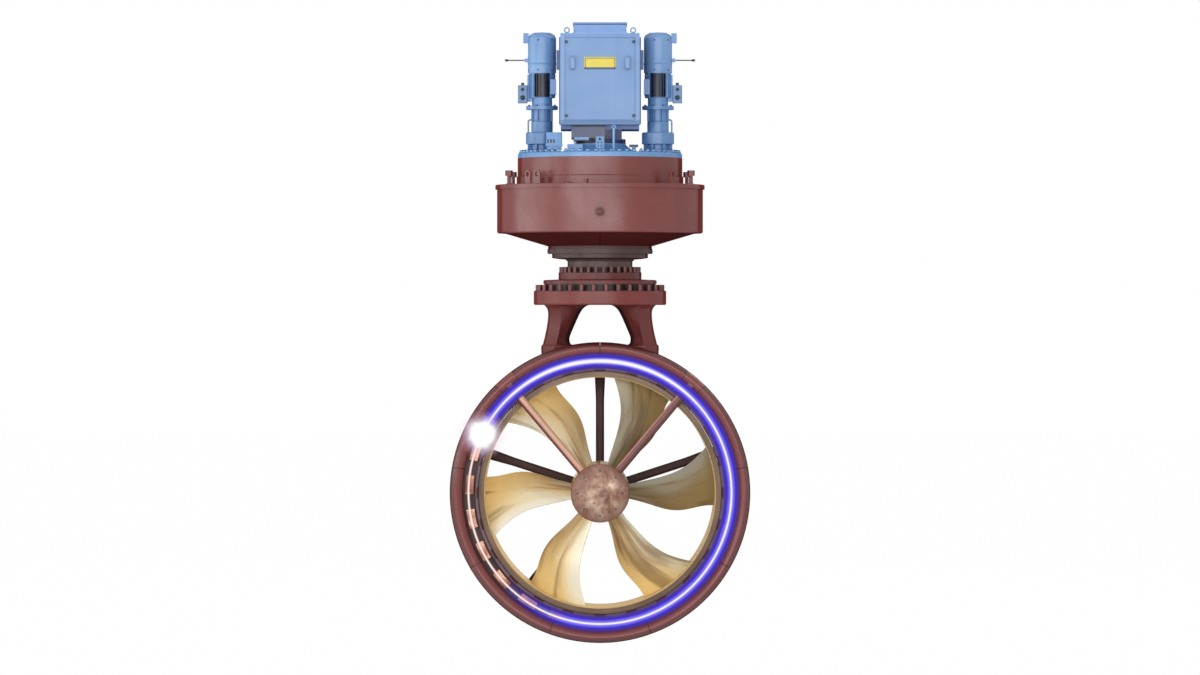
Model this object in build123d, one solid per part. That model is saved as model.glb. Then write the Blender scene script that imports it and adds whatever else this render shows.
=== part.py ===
from build123d import *
import os
from math import acos, atan2, cos, degrees, pi, radians, sin, tan

os.makedirs("parts", exist_ok=True)

# Frame: millimetres, +Z up, origin on the azimuth axis at the underside of the mounting flange,
# water enters the duct along +Y, so the duct's front faces -Y.

# Clearances
seat_gap = 0.3
running_gap = 0.08
sliding_gap = 0.4

# Well drum and mounting flange
drum_radius = 710.0
drum_wall = 20.0
drum_height = 303.0
drum_top_ring = 50.0
drum_top_ring_height = 45.0
drum_ring_slope = 20.0
drum_edge = 8.0
cone_radius = 662.0
cone_wall = 16.0
cone_depth = 89.0
cone_bore = 322.0
cone_lip = 40.0
flange_radius = 722.0
flange_thickness = 30.0
flange_bolt_circle = 685.0
flange_bolt_count = 24
flange_bolt_radius = 10.0
flange_bolt_depth = 40.0
flange_bolt_first = 7.5
flange_edge = 4.0
flange_studs = ((-95.0, -605.0, 9.0, 32.0), (-252.0, -560.0, 9.0, 12.0), (-225.0, -570.0, 9.0, 12.0))
plug_height = -166.0
plug_radius = 46.0
plug_hex_radius = 27.0
plug_shank_radius = 24.0
plug_recess = 4.0
plug_head_thickness = 12.0
plug_hex_thickness = 14.0
plug_shank_length = 30.0
plug_bore_depth = 60.0

# Steering housing, slewing ring and gear
housing_radius = 568.0
housing_wall = 24.0
housing_height = 184.0
housing_foot = 7.0
housing_foot_height = 54.0
race_ledge_width = 19.0
race_bottom = 95.0
race_height = 70.0
race_width = 23.0
nose_reach = 12.0
nose_height = 16.0
gear_module = 10.0
gear_root_depth = 1.25
gear_ring_width = 30.0
flank_shares = (0.0, 0.25, 0.6, 1.0)
ring_teeth = 96
pinion_teeth = 16
pressure_angle = 20.0
flank_backlash = 0.3
pinion_margin = 5.0
pinion_shaft_radius = 30.0

# Deck on the steering housing
deck_radius = 567.0
deck_thickness = 35.0
deck_chamfer = 9.0
deck_nut_count = 64
deck_nut_circle = 545.0
deck_nut_radius = 13.0
deck_nut_height = 13.0
deck_cover_radius = 250.0
deck_cover_top_radius = 178.0
deck_cover_height = 65.0
deck_cover_slope = 18.0
deck_cover_skirt = 13.0
deck_cover_rim = 8.0
mast_radius = 45.0
mast_wall = 10.0
mast_end_gap = 24.0
mast_hole = 60.0

# Trunk and column
trunk_radius = 300.0
trunk_wall = 30.0
trunk_flange_thickness = 20.0
seal_radius = 358.0
seal_height = 17.5
column_top = -410.0
column_bore = 200.0
neck_radius = 224.0
upper_disc_radius = 362.0
middle_disc_radius = 331.0
neck_flange_radius = 286.0
neck_flange_top = -574.0
wide_disc_radius = 390.0
wide_disc_top = -625.0
wide_disc_thickness = 27.0
column_bottom = -700.0
column_bolt_count = 32
upper_bolt_circle = 268.0
upper_bolt_radius = 14.0
upper_bolt_height = 39.0
lower_bolt_circle = 431.0
lower_bolt_radius = 15.0
lower_bolt_height = 42.0

# Strut frame under the column
frame_flange_radius = 457.0
frame_flange_thickness = 97.0

# Duct, axial places are along Y
duct_axis_z = -2083.0
duct_radius = 1030.0
duct_front = -318.0
duct_lip_end = -235.0
duct_mid = 0.0
duct_joint = 275.0
duct_rear = 345.0
duct_joint_radius = 1003.0
duct_rear_radius = 985.0
duct_wall = 18.0
lip_crest = 38.0
groove_outer_radius = 945.0
groove_inner_radius = 857.0
groove_edge = -288.0
segment_gap_deg = 0.12
foot_half_angle = 4.3
foot_web_half_angle = 1.9
front_strut_angles = (130.0, 50.0)
single_seams = (90.0, 170.0, 210.0, 250.0, 290.0, 330.0, 10.0)

# Motor in the rim
water_gap = 8.0
can_wall = 6.0
can_lip_radius = 834.0
can_front = -268.0
can_lip_end = -235.0
core_half_length = 200.0
coil_count = 24
coil_start_angle = 172.3
coil_angle = 8.3
coil_leg_angle = 2.0
coil_inner_radius = 868.0
coil_outer_radius = 923.0
coil_half_length = 250.0
coil_end_depth = 40.0
slot_gap = 0.5
slot_gap_deg = 0.05
rim_inner_radius = 790.0
rim_thickness = 34.0
rim_front = -225.0
rim_rear = 262.0
rim_lip_height = 8.0
rim_lip_length = 40.0
magnet_count = 32
magnet_height = 8.0
magnet_gap_deg = 1.0

# Propeller
blade_count = 6
blade_pitch = 2030.0
blade_root_thickness = 46.0
blade_tip_thickness = 13.0
blade_edge_thickness = 6.0
blade_camber = 0.035
blade_taper = 0.7
hub_radius = 204.0
hub_end_radius = 195.0
hub_half_length = 262.0
hub_shoulder = 24.0
axle_radius = 60.0
bush_wall = 15.0
bush_length = 100.0

# Spiders that carry the axle
spider_front = -345.0
spider_back = -275.0
spider_hub_radius = 188.0
front_strut_width = 56.0
front_strut_step = 846.0
front_strut_low = -312.0
front_strut_back = -277.0
front_strut_end_width = 52.0
front_strut_reach = 972.0
strut_corner_share = 0.46
strut_overlap = 30.0
hub_cap_radius = 200.0
hub_cap_rim = 16.0
hub_cap_dome = 34.0
hub_cap_arc_place = 0.55
hub_cap_arc_drop = 0.24
hub_cap_edge = 5.0
hub_cap_screws = 8
hub_cap_screw_circle = 152.0
hub_cap_screw_radius = 7.0
rear_strut_count = 5
rear_strut_width = 58.0
rear_strut_flare_width = 80.0
rear_strut_flare_start = 630.0
rear_strut_corner = 16.0
rear_hub_radius = 178.0
rear_cap_depth = 95.0
rear_cap_edge = 26.0
rear_cap_slope = 84.0
spoke_depth_share = 0.34

# Cabinet over the deck
cabinet_width = 544.0
cabinet_depth = 560.0
cabinet_bottom = 439.0
cabinet_top = 1065.0
cabinet_wall = 12.0
cabinet_corner = 8.0
pan_bottom = 410.0
pan_front = -140.0
pan_half_width = 270.0
cover_thickness = 12.0
cover_bevel = 30.0
cover_bevel_depth = 3.0
cover_seat = 36.0
lock_radius = 11.0
lock_height = 9.0
lock_edge = 2.5
lock_inset = 41.0
lock_rise = 60.0
handle_offset = 188.0
handle_length = 90.0
handle_width = 28.0
handle_reach = 34.0
handle_bar = 10.0
handle_corner = 12.0
handle_end = 12.0
handle_height = 860.0
plate_width = 218.0
plate_height = 84.0
plate_centre = 858.0
plate_thickness = 3.0
vent_half_width = 186.0
vent_half_depth = 200.0
vent_height = 78.0
vent_slats = 30
vent_rail = 12.0
vent_inset = 10.0
vent_slat = 4.0
eye_radius = 16.5
eye_wire = 4.5
eye_spacing = 454.0
eye_height = 1087.0
eye_place_y = -220.0
eye_stem_radius = 6.0
eye_foot_radius = 12.0
side_plate_thickness = 9.0
side_plate_half = 210.0
latch_block_thickness = 18.0
latch_block_rear = -90.0
latch_block_bottom = 822.0
latch_block_top = 951.0
slip_ring_radius = 120.0
slip_ring_height = 250.0
slip_ring_foot = 25.0
slip_ring_flange = 12.0
slip_ring_lid = 20.0
pedestal_disc_radius = 177.0
pedestal_disc_height = 31.0
pedestal_left = -197.0
pedestal_right = 150.0
pedestal_split = 35.0
pedestal_step = 14.0
pedestal_half_depth = 150.0

# Steering drives on the deck
motor_radius = 93.0
motor_core_radius = 80.0
motor_fins = 28
motor_fin_width = 5.5
motor_bottom = 631.0
motor_top = 802.0
motor_bell_radius = 70.0
motor_bell_bottom = 574.0
motor_bore = 46.0
motor_shaft_radius = 14.0
motor_shield = 10.0
motor_bore_end = 12.0
motor_fin_depth = 20.0
rotor_radius = 42.0
fan_radius = 82.0
fan_blades = 8
fan_hub_radius = 26.0
fan_hub_height = 40.0
fan_blade_height = 36.0
fan_rise = 25.0
fan_root = 20.0
rotor_end = 25.0
cowl_radius = 97.0
cowl_wall = 4.0
cowl_top = 1084.0
cowl_dome = 40.0
cowl_ridge_height = 866.0
cowl_ridge = 4.0
cowl_ridge_half = 6.0
cowl_slots = 8
cowl_slot_width = 8.0
cowl_slot_reach = (25.0, 55.0)
ear_half_width = 14.0
ear_half_height = 13.0
ear_slot_half = 7.0
ear_slot_half_height = 20.0
gear_flange_radius = 109.0
gear_flange_height = 24.0
gear_upper_radius = 65.0
gear_upper_bottom = 466.0
gear_middle_radius = 74.0
gear_middle_bottom = 393.0
gear_base_radius = 111.0
gear_base_bottom = 307.0
gear_neck_radius = 79.0
gear_spigot_radius = 70.0
gear_ribs = 8
gear_rib_width = 8.0
gear_low_rib_width = 12.0
gear_edge = 6.0
gear_bore_depth = 30.0
lever_height = 891.0
lever_pivot = 111.0
lever_length = 246.0
lever_rod_radius = 4.0
lever_eye_radius = 9.0
lever_pin_radius = 4.0
lever_knob_radius = 8.0
lever_knob_length = 22.0
lever_knob_start = 12.0
lever_knob_edge = 3.0
box_inner = 101.0
box_outer = 166.0
box_bottom = 596.0
box_top = 718.0
box_half_depth = 45.0
button_radius = 10.0
button_stem_radius = 6.0
button_travel = 5.0
button_height = 688.0
button_head = 9.0
button_depth = 18.0
button_bore_depth = 25.0
box_corner = 6.0
box_gland_radius = 11.0
box_gland_height = 18.0
lamp_depth = 6.0
lamp_radius = 16.0
lamp_height = 632.0
dipstick_radius = 4.0
dipstick_place = (94.0, -300.0)
dipstick_top = 421.0
dipstick_tube_top = 399.0
dipstick_tube_radius = 8.5
dipstick_foot_radius = 14.0
dipstick_ring_radius = 11.0
dipstick_ring_wire = 4.3
dipstick_foot_height = 12.0
breather_radius = 5.5
breather_bend = 16.0
breather_height = 480.0
breather_reach = 95.0

# Places that follow from the sizes above
housing_bottom = flange_thickness
housing_top = housing_bottom + housing_height
housing_bore = housing_radius - housing_wall
deck_top = housing_top + deck_thickness
race_outer = housing_bore - seat_gap
race_inner = race_outer - race_width
ring_pitch_radius = gear_module * ring_teeth / 2
pinion_pitch_radius = gear_module * pinion_teeth / 2
pinion_distance = ring_pitch_radius - pinion_pitch_radius
race_top = race_bottom + race_height
race_middle = race_bottom + race_height / 2
cone_bottom = -drum_height - cone_depth
seal_bottom = cone_bottom - seal_height
frame_bottom = column_bottom - frame_flange_thickness
rim_outer = rim_inner_radius + rim_thickness
magnet_outer = rim_outer + magnet_height
can_inner = magnet_outer + water_gap
can_outer = can_inner + can_wall
hub_bore = axle_radius + bush_wall + running_gap
deck_cover_top = deck_top + deck_cover_height
pedestal_disc_top = deck_cover_top + pedestal_disc_height
cabinet_front = -cabinet_depth / 2


# Helpers
def turned(points):
    return revolve(Plane.XZ * make_face(Polyline(*points, close=True)), Axis.Z)


def tube(outer, inner, bottom, top):
    return turned([(inner, bottom), (outer, bottom), (outer, top), (inner, top)])


def post(radius, bottom, top, x=0.0, y=0.0):
    return Pos(x, y, bottom) * extrude(Circle(radius), top - bottom)


def hexagon(radius, bottom, top, x=0.0, y=0.0, turn=0.0):
    return Pos(x, y, bottom) * extrude(Rot(0, 0, turn) * RegularPolygon(radius, 6), top - bottom)


def block(x0, x1, y0, y1, z0, z1):
    middle = ((x0 + x1) / 2, (y0 + y1) / 2, (z0 + z1) / 2)
    return Pos(*middle) * Box(x1 - x0, y1 - y0, z1 - z0)


def along_y(shape, x=0.0, y=0.0, z=0.0):
    return Pos(x, y, z) * Rot(-90, 0, 0) * shape


def group(shapes):
    return Compound([solid for shape in shapes for solid in shape.solids()])


def on_duct(shape):
    return along_y(shape, 0, 0, duct_axis_z)


def duct_ring(points):
    return on_duct(turned(points))


def duct_arc(profile, start, end):
    piece = revolve(Plane.XZ * profile, Axis.Z, revolution_arc=end - start)
    return on_duct(Rot(0, 0, -end) * piece)


def arc_block(inner, outer, front, rear, start, end):
    section = make_face(Polyline((inner, front), (outer, front), (outer, rear), (inner, rear), close=True))
    return duct_arc(section, start, end)


def circle_points(radius, count, first=0.0):
    points = []
    for i in range(count):
        turn = first + 360.0 * i / count
        points.append((radius * cos(radians(turn)), radius * sin(radians(turn)), turn))
    return points


def rod_along_y(radius, length, x, y, z):
    return Pos(x, y, z) * Rot(90, 0, 0) * Cylinder(radius, length)


def mirrored(shape, side):
    return shape if side < 0 else mirror(shape, about=Plane.YZ)


# Gear teeth, an involute drawn with a few chords for each flank
def gear_outline(teeth, tip_radius, root_radius, thickening):
    pitch_radius = gear_module * teeth / 2
    base_radius = pitch_radius * cos(radians(pressure_angle))
    half_tooth = pi / (2 * teeth) + thickening / (2 * pitch_radius)
    pitch_involute = tan(radians(pressure_angle)) - radians(pressure_angle)
    flank_start = max(root_radius, base_radius)
    flank = []
    for share in flank_shares:
        radius = flank_start + (tip_radius - flank_start) * share
        roll = acos(min(1.0, base_radius / radius))
        flank.append((radius, half_tooth + pitch_involute - (tan(roll) - roll)))
    if root_radius < flank_start:
        flank.insert(0, (root_radius, flank[0][1]))
    corners = []
    for tooth in range(teeth):
        middle = 2 * pi * tooth / teeth
        corners += [(radius, middle - angle) for radius, angle in flank]
        corners += [(radius, middle + angle) for radius, angle in reversed(flank)]
    points = [(radius * cos(angle), radius * sin(angle)) for radius, angle in corners]
    return make_face(Polyline(*points, close=True))


# Hull side
def make_well_drum():
    wall_inner = drum_radius - drum_wall
    ring_inner = drum_radius - drum_top_ring
    drum = turned([
        (ring_inner, 0), (drum_radius, 0), (drum_radius, -drum_height + drum_edge),
        (drum_radius - drum_edge, -drum_height), (cone_radius, -drum_height),
        (cone_bore + cone_lip, cone_bottom), (cone_bore, cone_bottom), (cone_bore, cone_bottom + cone_wall),
        (cone_bore + cone_lip, cone_bottom + cone_wall), (cone_radius, -drum_height + cone_wall),
        (wall_inner, -drum_height + cone_wall), (wall_inner, -drum_top_ring_height - drum_ring_slope),
        (ring_inner, -drum_top_ring_height)])
    for x, y, _ in circle_points(flange_bolt_circle, flange_bolt_count, flange_bolt_first):
        drum -= post(flange_bolt_radius, -flange_bolt_depth, flange_thickness, x, y)
    recess = post(plug_radius + seat_gap, -drum_radius - plug_head_thickness, -drum_radius + plug_recess)
    bore = post(plug_shank_radius + seat_gap, -drum_radius, -drum_radius + plug_bore_depth)
    return drum - along_y(recess, z=plug_height) - along_y(bore, z=plug_height)


def make_mounting_flange():
    flange = turned([
        (housing_bore, 0), (flange_radius, 0), (flange_radius, flange_thickness - flange_edge),
        (flange_radius - flange_edge, flange_thickness), (housing_bore, flange_thickness)])
    for x, y, radius, height in flange_studs:
        flange += post(radius, flange_thickness - 1, flange_thickness + height, x, y)
    for x, y, _ in circle_points(flange_bolt_circle, flange_bolt_count, flange_bolt_first):
        flange -= post(flange_bolt_radius, -1, flange_thickness + 1, x, y)
    return flange


def make_drum_plug():
    seat = -drum_radius + plug_recess
    head = seat - plug_head_thickness
    plug = post(plug_radius, head, seat) + hexagon(plug_hex_radius, head - plug_hex_thickness, head)
    plug += post(plug_shank_radius, seat, seat + plug_shank_length)
    return along_y(plug, z=plug_height)


def make_steering_housing():
    ledge = housing_bore - race_ledge_width
    foot_top = housing_bottom + housing_foot_height
    return turned([
        (housing_bore, housing_bottom), (housing_radius + housing_foot, housing_bottom),
        (housing_radius + housing_foot, foot_top), (housing_radius, foot_top + housing_foot),
        (housing_radius, housing_top), (housing_bore, housing_top), (housing_bore, race_bottom),
        (ledge, race_bottom), (ledge, race_bottom - trunk_flange_thickness),
        (housing_bore, race_bottom - trunk_flange_thickness - race_ledge_width)])


def make_deck_plate():
    deck = turned([
        (mast_hole, housing_top), (deck_radius, housing_top), (deck_radius, deck_top - deck_chamfer),
        (deck_radius - deck_chamfer, deck_top), (mast_hole, deck_top)])
    for side in (-1, 1):
        deck -= post(gear_spigot_radius + seat_gap, housing_top - 1, deck_top + 1, side * pinion_distance)
    return deck


def make_deck_nuts():
    return group([hexagon(deck_nut_radius, deck_top, deck_top + deck_nut_height, x, y, turn)
                  for x, y, turn in circle_points(deck_nut_circle, deck_nut_count, 180 / deck_nut_count)])


jacking_places = ((624.0, -204.0), (603.0, 204.0))
jacking_stem_radius = 13.0
jacking_head_radius = 26.0
jacking_head_bottom = 89.0
jacking_head_top = 126.0
jacking_foot_radius = 18.0
jacking_foot_top = 38.0


def make_jacking_posts():
    posts = []
    for side in (-1, 1):
        for x, y in jacking_places:
            x *= side
            screw = post(jacking_stem_radius, flange_thickness, jacking_head_bottom, x, y)
            screw += hexagon(jacking_head_radius, jacking_head_bottom, jacking_head_top, x, y)
            posts.append(screw + post(jacking_foot_radius, flange_thickness, jacking_foot_top, x, y))
    return group(posts)


lug_places = ((-489.0, -428.0), (-426.0, -491.0), (491.0, -428.0))
lug_thickness = 12.0
lug_half_width = 29.0
lug_eye_height = 94.0
lug_hole_radius = 16.0


def make_lifting_lugs():
    lugs = []
    half = lug_thickness / 2
    for x, y in lug_places:
        plate = block(-half, half, -lug_half_width, lug_half_width, flange_thickness, lug_eye_height)
        plate += Pos(0, 0, lug_eye_height) * Rot(0, 90, 0) * Cylinder(lug_half_width, lug_thickness)
        plate -= Pos(0, 0, lug_eye_height) * Rot(0, 90, 0) * Cylinder(lug_hole_radius, lug_thickness + 2)
        lugs.append(Pos(x, y, 0) * Rot(0, 0, degrees(atan2(y, x))) * plate)
    return group(lugs)


def make_slewing_outer_race():
    groove = nose_height / 2 + seat_gap
    deep = race_inner + nose_reach
    return turned([
        (race_outer, race_bottom), (race_outer, race_top), (race_inner, race_top),
        (race_inner, race_middle + groove), (deep, race_middle + groove), (deep, race_middle - groove),
        (race_inner, race_middle - groove), (race_inner, race_bottom)])


def make_trunk_seal():
    return tube(seal_radius, trunk_radius + sliding_gap, seal_bottom, cone_bottom)


def make_deck_cover():
    return turned([
        (mast_hole, deck_top), (deck_cover_radius, deck_top),
        (deck_cover_radius - deck_cover_slope, deck_top + deck_cover_skirt),
        (deck_cover_top_radius, deck_cover_top - deck_cover_rim), (deck_cover_top_radius, deck_cover_top),
        (mast_hole, deck_cover_top)])


def make_pedestal():
    front = -pedestal_half_depth
    base = post(pedestal_disc_radius, deck_cover_top, pedestal_disc_top)
    base += block(pedestal_left, pedestal_split, front, pedestal_half_depth, pedestal_disc_top + 4, pan_bottom)
    base += block(pedestal_left, pedestal_split, front, pan_front - seat_gap, pan_bottom - 1, cabinet_bottom)
    base += block(pedestal_split, pedestal_right, front + pedestal_step, pedestal_half_depth,
                  pedestal_disc_top - 8, pan_bottom)
    return base - post(mast_hole, deck_cover_top - 1, cabinet_bottom + 1)


def make_cabinet_body():
    half = cabinet_width / 2
    face = cabinet_front + cover_thickness + seat_gap
    shell = block(-half, half, face, -cabinet_front, cabinet_bottom, cabinet_top)
    shell = fillet(shell.edges().filter_by(Axis.Y), cabinet_corner)
    shell += block(-pan_half_width, pan_half_width, pan_front, -cabinet_front - cabinet_wall, pan_bottom,
                   cabinet_bottom + 1)
    inner_half = half - cabinet_wall
    shell -= block(-inner_half, inner_half, face + cabinet_wall, -cabinet_front - cabinet_wall,
                   cabinet_bottom + cabinet_wall, cabinet_top - cabinet_wall)
    door = half - cover_seat
    shell -= block(-door, door, face - 1, face + cabinet_wall + 1, cabinet_bottom + cover_seat,
                   cabinet_top - cover_seat)
    return shell - post(mast_hole, pan_bottom - 1, cabinet_bottom + cabinet_wall + 1)


def make_roof_vent():
    half, depth = vent_half_width, vent_half_depth
    top = cabinet_top + vent_height
    low = cabinet_top + vent_rail
    high = top - vent_rail
    vent = block(-half, half, -depth, depth, cabinet_top, low)
    vent += block(-half, half, -depth, depth, high, top)
    vent += block(-half + vent_inset, half - vent_inset, -depth + vent_inset, depth - vent_inset, low, high)
    pitch = 2 * half / vent_slats
    slats = []
    for i in range(vent_slats):
        x = -half + pitch * (i + 0.5)
        slats.append(block(x - vent_slat / 2, x + vent_slat / 2, -depth + 2, depth - 2, low, high))
    return vent + slats


def make_cabinet_fittings():
    pieces = []
    wall = -cabinet_width / 2
    outer = wall - side_plate_thickness
    for side in (-1, 1):
        eye = Pos(0, 0, eye_height) * Rot(90, 0, 0) * Torus(eye_radius, eye_wire)
        eye += post(eye_stem_radius, cabinet_top, eye_height - eye_radius)
        eye += post(eye_foot_radius, cabinet_top, cabinet_top + 3)
        pieces.append(Pos(side * eye_spacing / 2, eye_place_y, 0) * eye)
        plate = block(outer, wall, -side_plate_half, side_plate_half, cabinet_bottom + 16, cabinet_top - 25)
        plate += block(outer - latch_block_thickness, outer, -side_plate_half, latch_block_rear,
                       latch_block_bottom, latch_block_top)
        pieces.append(mirrored(plate, side))
    return group(pieces)


def make_slip_ring_housing():
    bottom = cabinet_bottom + cabinet_wall
    top = bottom + slip_ring_height
    bore = mast_radius + sliding_gap
    foot = slip_ring_radius + slip_ring_foot
    return turned([
        (bore, bottom), (foot, bottom), (foot, bottom + slip_ring_flange),
        (slip_ring_radius, bottom + slip_ring_flange), (slip_ring_radius, top - slip_ring_flange),
        (slip_ring_radius + 10, top - slip_ring_flange), (slip_ring_radius + 10, top), (0, top),
        (0, top - slip_ring_lid), (bore, top - slip_ring_lid)])


# Drives, drawn for the left side with the motor's axis at x = 0
def make_motor():
    shield = motor_radius - 3
    low = motor_bottom + motor_shield
    high = motor_top - motor_shield
    body = Circle(motor_core_radius)
    for x, y, turn in circle_points(motor_radius - motor_fin_depth / 2, motor_fins, 90 / motor_fins):
        body += Pos(x, y) * Rot(0, 0, turn) * Rectangle(motor_fin_depth, motor_fin_width)
    motor = Pos(0, 0, low) * extrude(body, high - low)
    motor += post(shield, motor_bottom, low) + post(shield, high, motor_top)
    motor += post(motor_bell_radius, motor_bell_bottom, motor_bottom)
    motor += block(-box_inner, -motor_core_radius + 8, -20, 20, box_bottom + 10, motor_top - 12)
    motor -= post(motor_bore, motor_bottom + motor_bore_end, motor_top - motor_bore_end)
    return motor - post(motor_shaft_radius + running_gap, motor_bell_bottom - 1, motor_top + 1)


def make_motor_rotor():
    fan_low = motor_top + fan_rise
    rotor = post(motor_shaft_radius, motor_bell_bottom + 6, motor_top + 70)
    rotor += post(rotor_radius, motor_bottom + rotor_end, motor_top - rotor_end)
    rotor += post(fan_hub_radius, fan_low, fan_low + fan_hub_height)
    blade = block(fan_root, fan_radius, -2, 2, fan_low, fan_low + fan_blade_height)
    for _, _, turn in circle_points(1, fan_blades):
        rotor += Rot(0, 0, turn) * blade
    return rotor


def make_cowl():
    dome_low = cowl_top - cowl_dome
    inner = cowl_radius - cowl_wall
    foot = motor_radius - 13
    cowl = turned([
        (foot, motor_top), (cowl_radius, motor_top), (cowl_radius, cowl_ridge_height - cowl_ridge_half),
        (cowl_radius + cowl_ridge, cowl_ridge_height), (cowl_radius, cowl_ridge_height + cowl_ridge_half),
        (cowl_radius, dome_low), (cowl_radius - 12, dome_low + 22), (cowl_radius - 40, cowl_top - 4),
        (0, cowl_top), (0, cowl_top - cowl_wall), (cowl_radius - 42, cowl_top - cowl_wall - 4),
        (inner - 12, dome_low + 18), (inner, dome_low), (inner, motor_top + cowl_wall),
        (foot, motor_top + cowl_wall)])
    slot_half = cowl_slot_width / 2
    slot = block(*cowl_slot_reach, -slot_half, slot_half, cowl_top - 30, cowl_top + 5)
    for _, _, turn in circle_points(1, cowl_slots):
        cowl -= Rot(0, 0, turn) * slot
    tip = -lever_pivot - lever_eye_radius
    low, high = lever_height - ear_slot_half_height, lever_height + ear_slot_half_height
    ears = block(tip, -cowl_radius + 8, -ear_half_width, ear_half_width,
                 lever_height - ear_half_height, lever_height + ear_half_height)
    ears -= block(tip - 1, -cowl_radius - 1, -ear_slot_half, ear_slot_half, low, high)
    ears -= post(cowl_radius - 1, low, high)
    return cowl + ears + rod_along_y(lever_pin_radius, 2 * ear_half_width, -lever_pivot, 0, lever_height)


def make_brake_lever():
    rod_start = -lever_pivot - lever_eye_radius + 2
    knob_start = -lever_length + lever_knob_start
    eye = rod_along_y(lever_eye_radius, 2 * (ear_slot_half - seat_gap), -lever_pivot, 0, lever_height)
    rod = extrude(Circle(lever_rod_radius), rod_start - knob_start)
    knob = extrude(Circle(lever_knob_radius), lever_knob_length)
    knob = fillet(knob.edges().filter_by(GeomType.CIRCLE), lever_knob_edge)
    lever = eye + Pos(rod_start, 0, lever_height) * Rot(0, -90, 0) * rod
    lever += Pos(knob_start, 0, lever_height) * Rot(0, -90, 0) * knob
    hole = rod_along_y(lever_pin_radius + running_gap, 2 * ear_half_width + 2, -lever_pivot, 0, lever_height)
    return lever - hole


upper_box = (-129.0, -88.0, -30.0, 30.0, 1010.0, 1077.0)
lower_box = (58.0, 98.0, -122.0, -60.0, 652.0, 755.0)


def make_terminal_boxes():
    upper = block(*upper_box) - post(cowl_radius, upper_box[4] - 10, upper_box[5] + 13)
    upper = upper.solids().sort_by(Axis.X)[0]
    lower = block(*lower_box) - post(motor_radius + seat_gap, lower_box[4] - 12, lower_box[5] + 15)
    return [upper, lower]


def make_control_box():
    middle = -(box_inner + box_outer) / 2
    box = block(-box_outer, -box_inner, -box_half_depth, box_half_depth, box_bottom, box_top)
    box = fillet(box.edges().filter_by(Axis.Z), box_corner)
    box += post(box_gland_radius, box_top, box_top + box_gland_height, middle)
    box += Pos(middle, -box_half_depth, lamp_height) * Rot(90, 0, 0) * extrude(Circle(lamp_radius), lamp_depth)
    bore = extrude(Circle(button_stem_radius + running_gap), button_bore_depth + 1)
    return box - Pos(middle, -box_half_depth + button_bore_depth, button_height) * Rot(90, 0, 0) * bore


def make_button():
    middle = -(box_inner + box_outer) / 2
    head_back = -box_half_depth - button_travel - 1
    button = Pos(middle, head_back, button_height) * Rot(90, 0, 0) * extrude(Circle(button_radius), button_head)
    button = fillet(button.edges().sort_by(Axis.Y)[0], 2)
    stem = extrude(Circle(button_stem_radius), button_depth + button_travel + 1)
    return button + Pos(middle, -box_half_depth + button_depth, button_height) * Rot(90, 0, 0) * stem


def make_gearbox():
    flange_bottom = motor_bell_bottom - gear_flange_height
    body = turned([
        (0, deck_top), (gear_neck_radius, deck_top), (gear_neck_radius, gear_base_bottom),
        (gear_base_radius, gear_base_bottom + gear_edge), (gear_base_radius, gear_middle_bottom - gear_edge),
        (gear_base_radius - 8, gear_middle_bottom), (gear_middle_radius, gear_middle_bottom),
        (gear_middle_radius, gear_upper_bottom), (gear_upper_radius, gear_upper_bottom + gear_edge),
        (gear_upper_radius, flange_bottom), (gear_flange_radius, flange_bottom),
        (gear_flange_radius, motor_bell_bottom), (0, motor_bell_bottom)])
    half, low_half = gear_rib_width / 2, gear_low_rib_width / 2
    rib = block(gear_upper_radius - 5, gear_upper_radius + 14, -half, half, gear_upper_bottom + 4,
                flange_bottom)
    low_rib = block(gear_neck_radius - 5, gear_base_radius - 6, -low_half, low_half, deck_top + 8,
                    gear_base_bottom + gear_edge)
    for _, _, turn in circle_points(1, gear_ribs, 180 / gear_ribs):
        body += Rot(0, 0, turn) * rib
        body += Rot(0, 0, turn) * low_rib
    body += post(gear_spigot_radius, race_top + 8, deck_top)
    body -= post(motor_shaft_radius + sliding_gap, motor_bell_bottom - gear_bore_depth, motor_bell_bottom + 10)
    return body - post(pinion_shaft_radius + running_gap, race_top, gear_base_bottom)


def make_pinion():
    tip = pinion_pitch_radius + gear_module
    root = pinion_pitch_radius - gear_root_depth * gear_module
    low = race_bottom + pinion_margin
    teeth = extrude(gear_outline(pinion_teeth, tip, root, -flank_backlash), race_height - 2 * pinion_margin)
    return Pos(0, 0, low) * teeth + post(pinion_shaft_radius, low, gear_base_bottom - 4)


def make_breather_pipe():
    path = FilletPolyline((-gear_upper_radius - 0.5, 0, breather_height), (-breather_reach, 0, breather_height),
                          (-breather_reach, 0, gear_middle_bottom), radius=breather_bend)
    return sweep(Plane(path @ 0, z_dir=path % 0) * Circle(breather_radius), path=path)


lubricator_sides = (-369.0, -261.0)
lubricator_depths = (-205.0, -116.0)
lubricator_bottom = 311.0
lubricator_top = 388.0
lubricator_slots = 3
lubricator_slot_pitch = 20.0
lubricator_slot_width = 13.0
lubricator_slot_heights = (314.0, 340.0)
lubricator_tray = (270.0, 311.0)


def make_lubricator():
    left, right = lubricator_sides
    front, rear = lubricator_depths
    box = block(left, right, front, rear, lubricator_bottom, lubricator_top)
    box = fillet(box.edges().filter_by(Axis.Z), 8)
    for i in range(lubricator_slots):
        x = left + 6 + lubricator_slot_pitch * i
        box -= block(x, x + lubricator_slot_width, front - 1, front + 5, *lubricator_slot_heights)
    low, high = lubricator_tray
    tray = block(left - 5, right + 3, front - 4, rear, high - 19, lubricator_bottom)
    tray += block(left + 8, right - 8, front + 8, rear, low + 15, high)
    tray += block(left + 4, right - 2, front - 2, rear, low, low + 16)
    for x in (left + 10, right - 22):
        tray += block(x, x + 12, front + 14, rear - 10, deck_top, low)
    return group([box, tray])


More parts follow.
